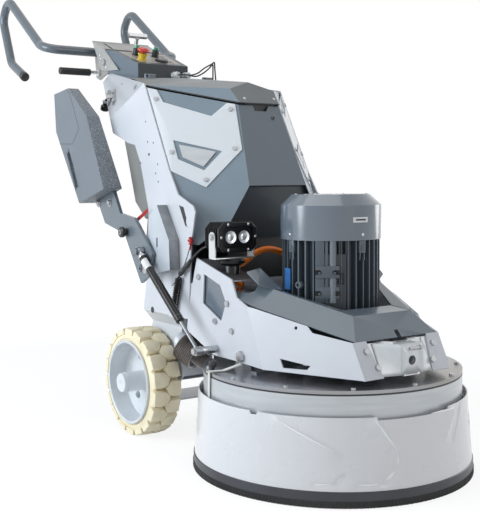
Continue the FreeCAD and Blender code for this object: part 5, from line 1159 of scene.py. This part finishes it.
lock = {"place": (49, 363.6, 1112), "out": (0, -0.927, 0.374),
        "ring": [(3.2, -2), (6.2, -2), (6.8, 1.2), (6, 2.2), (3.4, 2.2), (3.2, -2)]}
strap = {"red": [(-318, 695, 753), (-320, 668, 766), (-319, 640, 779), (-318, 610, 794)], "knot": (-306, 337, 702),
         "strings": [[(-307, 339, 694), (-311, 352, 655), (-312, 366, 630), (-311, 380, 610)],
                     [(-315, 398, 584), (-318, 420, 562), (-318, 446, 546)]]}


def planeOut(points):  # the way a plane through three points looks, towards the left
    first, second, third = [Vector(point) for point in points]
    normal = (second - first).cross(third - first).normalized()
    return -normal if normal.x > 0 else normal


def onCover(y, z, out):
    spot, normal = Vector(sheet["cover"][0]), planeOut(sheet["cover"])
    x = spot.x - (normal.y * (y - spot.y) + normal.z * (z - spot.z)) / normal.x
    return at(x, y, z) + normal * out / 1000


def makeFrameDetails():
    neckOut = planeOut(neck["plane"])
    holes, backing = bmesh.new(), bmesh.new()
    for hand in hands:
        addPlate(holes, [at(hand * (sheet["half"] + 0.2), y, z) for y, z in sheet["slot"]], -0.0004 * hand)
        for y, z, radius in sheet["holes"]:
            addDisc(holes, at(hand * sheet["half"], y, z), (hand, 0, 0), radius / 1000)
        addPlate(backing, [at(hand * 291.5, y, z) for y, z in sheet["window"]], -0.002 * hand)
    addDisc(holes, at(*neck["hole"]), neckOut, 0.005)
    piece("sheetHoles", holes, "blackRubber", "frame")

    latch = bmesh.new()
    corners = [at(*corner) for corner in neck["latch"]]
    heart = sum(corners, Vector()) / 4
    a, b, c, d = corners = [heart.lerp(corner, neck["shrink"]) for corner in corners]
    for start, end in ((a, d), (b, c)):
        addStrip(latch, [start + neckOut * 0.0006, end + neckOut * 0.0006], neckOut, 0.022, 0.004)
    addStrip(latch, [a.lerp(d, 0.5) + neckOut * 0.004, b.lerp(c, 0.5) + neckOut * 0.004], neckOut, 0.014, 0.006)
    for corner in corners:
        addHexBolt(latch, corner + neckOut * 0.004, neckOut, 13, 6)
    addHexBolt(latch, at(*neck["bolt"]), neckOut, 11, 5)
    piece("neckLatch", latch, "boltZinc", "frame")
    piece("windowPlates", backing, "cowlPaint", "frame")

    inset = bmesh.new()
    rim = [onCover(y, z, 0.1) for y, z in sheet["inset"]]
    addPlate(inset, rim, 0.0006)
    addPlate(inset, [Vector((-point.x, point.y, point.z)) for point in rim[::-1]], 0.0006)
    piece("windowInsets", inset, "silverPaint", "frame")

    recess = bmesh.new()
    addBlock(recess, *[at(*corner) for corner in sheet["recess"]])
    piece("lockRecess", recess, "blackPlastic", "frame")
    turnedPiece("coverLock", lock["ring"], placed(at(*lock["place"]), lock["out"]), 24, "darkSteelAndShade", "frame")

    rope, tie, string = bmesh.new(), bmesh.new(), bmesh.new()
    addStrip(rope, [at(*point) for point in strap["red"]], (-1, 0, 0), 0.013, 0.0016)
    piece("redStrap", rope, "redWebbing", "frame")
    knot = at(*strap["knot"])
    addBar(tie, knot + Vector((0.003, 0.004, 0.010)), knot + Vector((-0.004, -0.003, -0.011)), 0.0052, 16)
    for count in range(6):
        angle = pi * count / 3
        out = Vector((-0.25, cos(angle), sin(angle))).normalized()
        addBar(tie, knot, knot + out * 0.013, 0.0024, 10, 0.0042)
    addBar(tie, knot, knot + Vector((-0.004, 0.004, -0.030)), 0.0026, 10)
    piece("redTie", tie, "redWebbing", "frame")
    for points in strap["strings"]:
        addRope(string, [at(*point) for point in points], 0.0014)
    piece("tieString", string, "blackRubber", "frame")


makeFrameDetails()


# rivets, clip and seals of the hood
hood = {"corners": [(-83, 376, 1163), (93, 420, 1212), (-93, 420, 1212)],
        "rivets": [(-54, 389, 1178), (74, 392, 1181)],
        "clips": [((-20, 733, 1267), (47, 776, 1274.5), 0.0016), ((-8, 744, 1273), (34, 765, 1278), 0.0014)],
        "seam": [(84, 377.6, 1161.5), (289.6, 652, 1234)], "frontSeam": (84, 376.6, 1161.2), "seal": (0.004, 0.0008)}


def makeHoodDetails():
    rivets, clip, line = bmesh.new(), bmesh.new(), bmesh.new()
    corner, first, second = [at(*point) for point in hood["corners"]]
    out = (first - corner).cross(second - corner).normalized()
    for point in hood["rivets"]:
        addDomeBolt(rivets, at(*point), -out if out.y > 0 else out, 4.2)
    piece("hoodRivets", rivets, "whitePlastic", "hood")
    for low, high, bevel in hood["clips"]:
        addBlock(clip, at(*low), at(*high), bevel)
    piece("hoodClip", clip, "steel", "hood")
    for hand in hands:
        addStrip(line, [at(hand * x, y, z) for x, y, z in hood["seam"]], (hand, -0.55, 0.0), *hood["seal"])
    x, y, z = hood["frontSeam"]
    addStrip(line, [at(-x, y, z), at(x, y, z)], (0, -1, 0.2), *hood["seal"])
    piece("hoodSeal", line, "blackRubber", "hood")


makeHoodDetails()
print("frame and hood done")


# weights and gas springs: grooves, caps, glands, labels, bolts and plugs, the same on both sides
weight = {"groove": [(1097, 1252), (1072, 1240), (979, 1099), (1036, 1043), (1152, 1048)],
          "slot": [(1092, 1016), (1072, 1028), (972, 884), (997, 866), (1092, 1016)],
          "bolts": [(914, 819), (823, 822)], "plugs": [(632, 651), (586, 598)], "arm": 356.2,
          "face": [(815, 412), (1262, 394)], "nut": (330.3, 649, 727), "knob": (382, 695, 719),
          "knobRing": [(4.5, -0.2), (8.5, -0.2), (8.5, 1), (4.5, 1), (4.5, -0.2)]}
spring = {"x": 371, "top": (575, 658), "foot": (198, 366),
          "cap": [(0, 24.5), (13.8, 24.5), (14.3, 26), (14.3, 34), (13.8, 35.5), (0, 35.5)],
          "gland": [(5.2, 340.4), (13.8, 340.4), (13.8, 342.4), (9, 343.4), (5.2, 343.4), (5.2, 340.4)],
          "ring": [(14.02, 322), (14.5, 322.5), (14.5, 326.5), (14.02, 327)],
          "tag": [(14.05, 50), (14.2, 50.2), (14.2, 92.8), (14.05, 93)]}


def weightFace(hand, y, z):  # the outer face leans in towards the top
    (low, lowOut), (high, highOut) = weight["face"]
    return at(hand * (lowOut + (highOut - lowOut) * (z - low) / (high - low) - 0.2), y, z)


def makeWeightDetails(side, hand):
    title, body, cylinder, outward = side.title(), side + "_weight", side + "_cylinder", (hand, 0, 0)
    lean = Vector((hand * 447, 0, 18)).normalized()
    grooves, rings, tag, bolts, plugs, nut = [bmesh.new() for count in range(6)]
    # the grooves and the slot are thin dark strips laid on the face: painted shade where the grooves would be cut
    addStrip(grooves, [weightFace(hand, y, z) for y, z in weight["groove"]], lean, 0.0022, 0.0007)
    addStrip(grooves, [weightFace(hand, y, z) for y, z in weight["slot"]], lean, 0.0018, 0.0006)
    piece("weightGrooves" + title, grooves, "darkSteelAndShade", body)
    top = at(hand * spring["x"], *spring["top"])
    run = (at(hand * spring["x"], *spring["foot"]) - top).normalized()
    place = placed(top, run)
    turnedPiece("springCap" + title, spring["cap"], place, 32, "steel", cylinder)
    turned(rings, spring["gland"], place, 32)
    turned(rings, spring["ring"], place, 32)
    piece("springGland" + title, rings, "blackPlastic", cylinder)
    turned(tag, spring["tag"], place, 40)
    shown, cut = Vector((hand, -0.35, 0.2)).normalized(), []
    for face in tag.faces:
        away = face.calc_center_median() - top
        if (away - run * away.dot(run)).normalized().dot(shown) < 0.2:
            cut.append(face)
    bmesh.ops.delete(tag, geom=cut, context="FACES")
    piece("springTag" + title, tag, "whitePlastic", cylinder)
    for y, z in weight["bolts"]:
        addHexBolt(bolts, at(hand * weight["arm"], y, z), outward, 17, 8)
    piece("armBolts" + title, bolts, "boltZinc", body)
    for y, z in weight["plugs"]:
        addDomeBolt(plugs, at(hand * weight["arm"], y, z), outward, 11.5)
    piece("armPlugs" + title, plugs, "deepGrey", body)
    x, y, z = weight["nut"]
    addHexBolt(nut, at(hand * x, y, z), outward, 19, 14)
    piece("stopNut" + title, nut, "boltZinc", body)
    x, y, z = weight["knob"]
    turnedPiece("knobRing" + title, weight["knobRing"], placed(at(hand * x, y, z), outward), 24, "steel",
                side + "_plunger")


for side, hand in sides:
    makeWeightDetails(side, hand)
print("weights done")
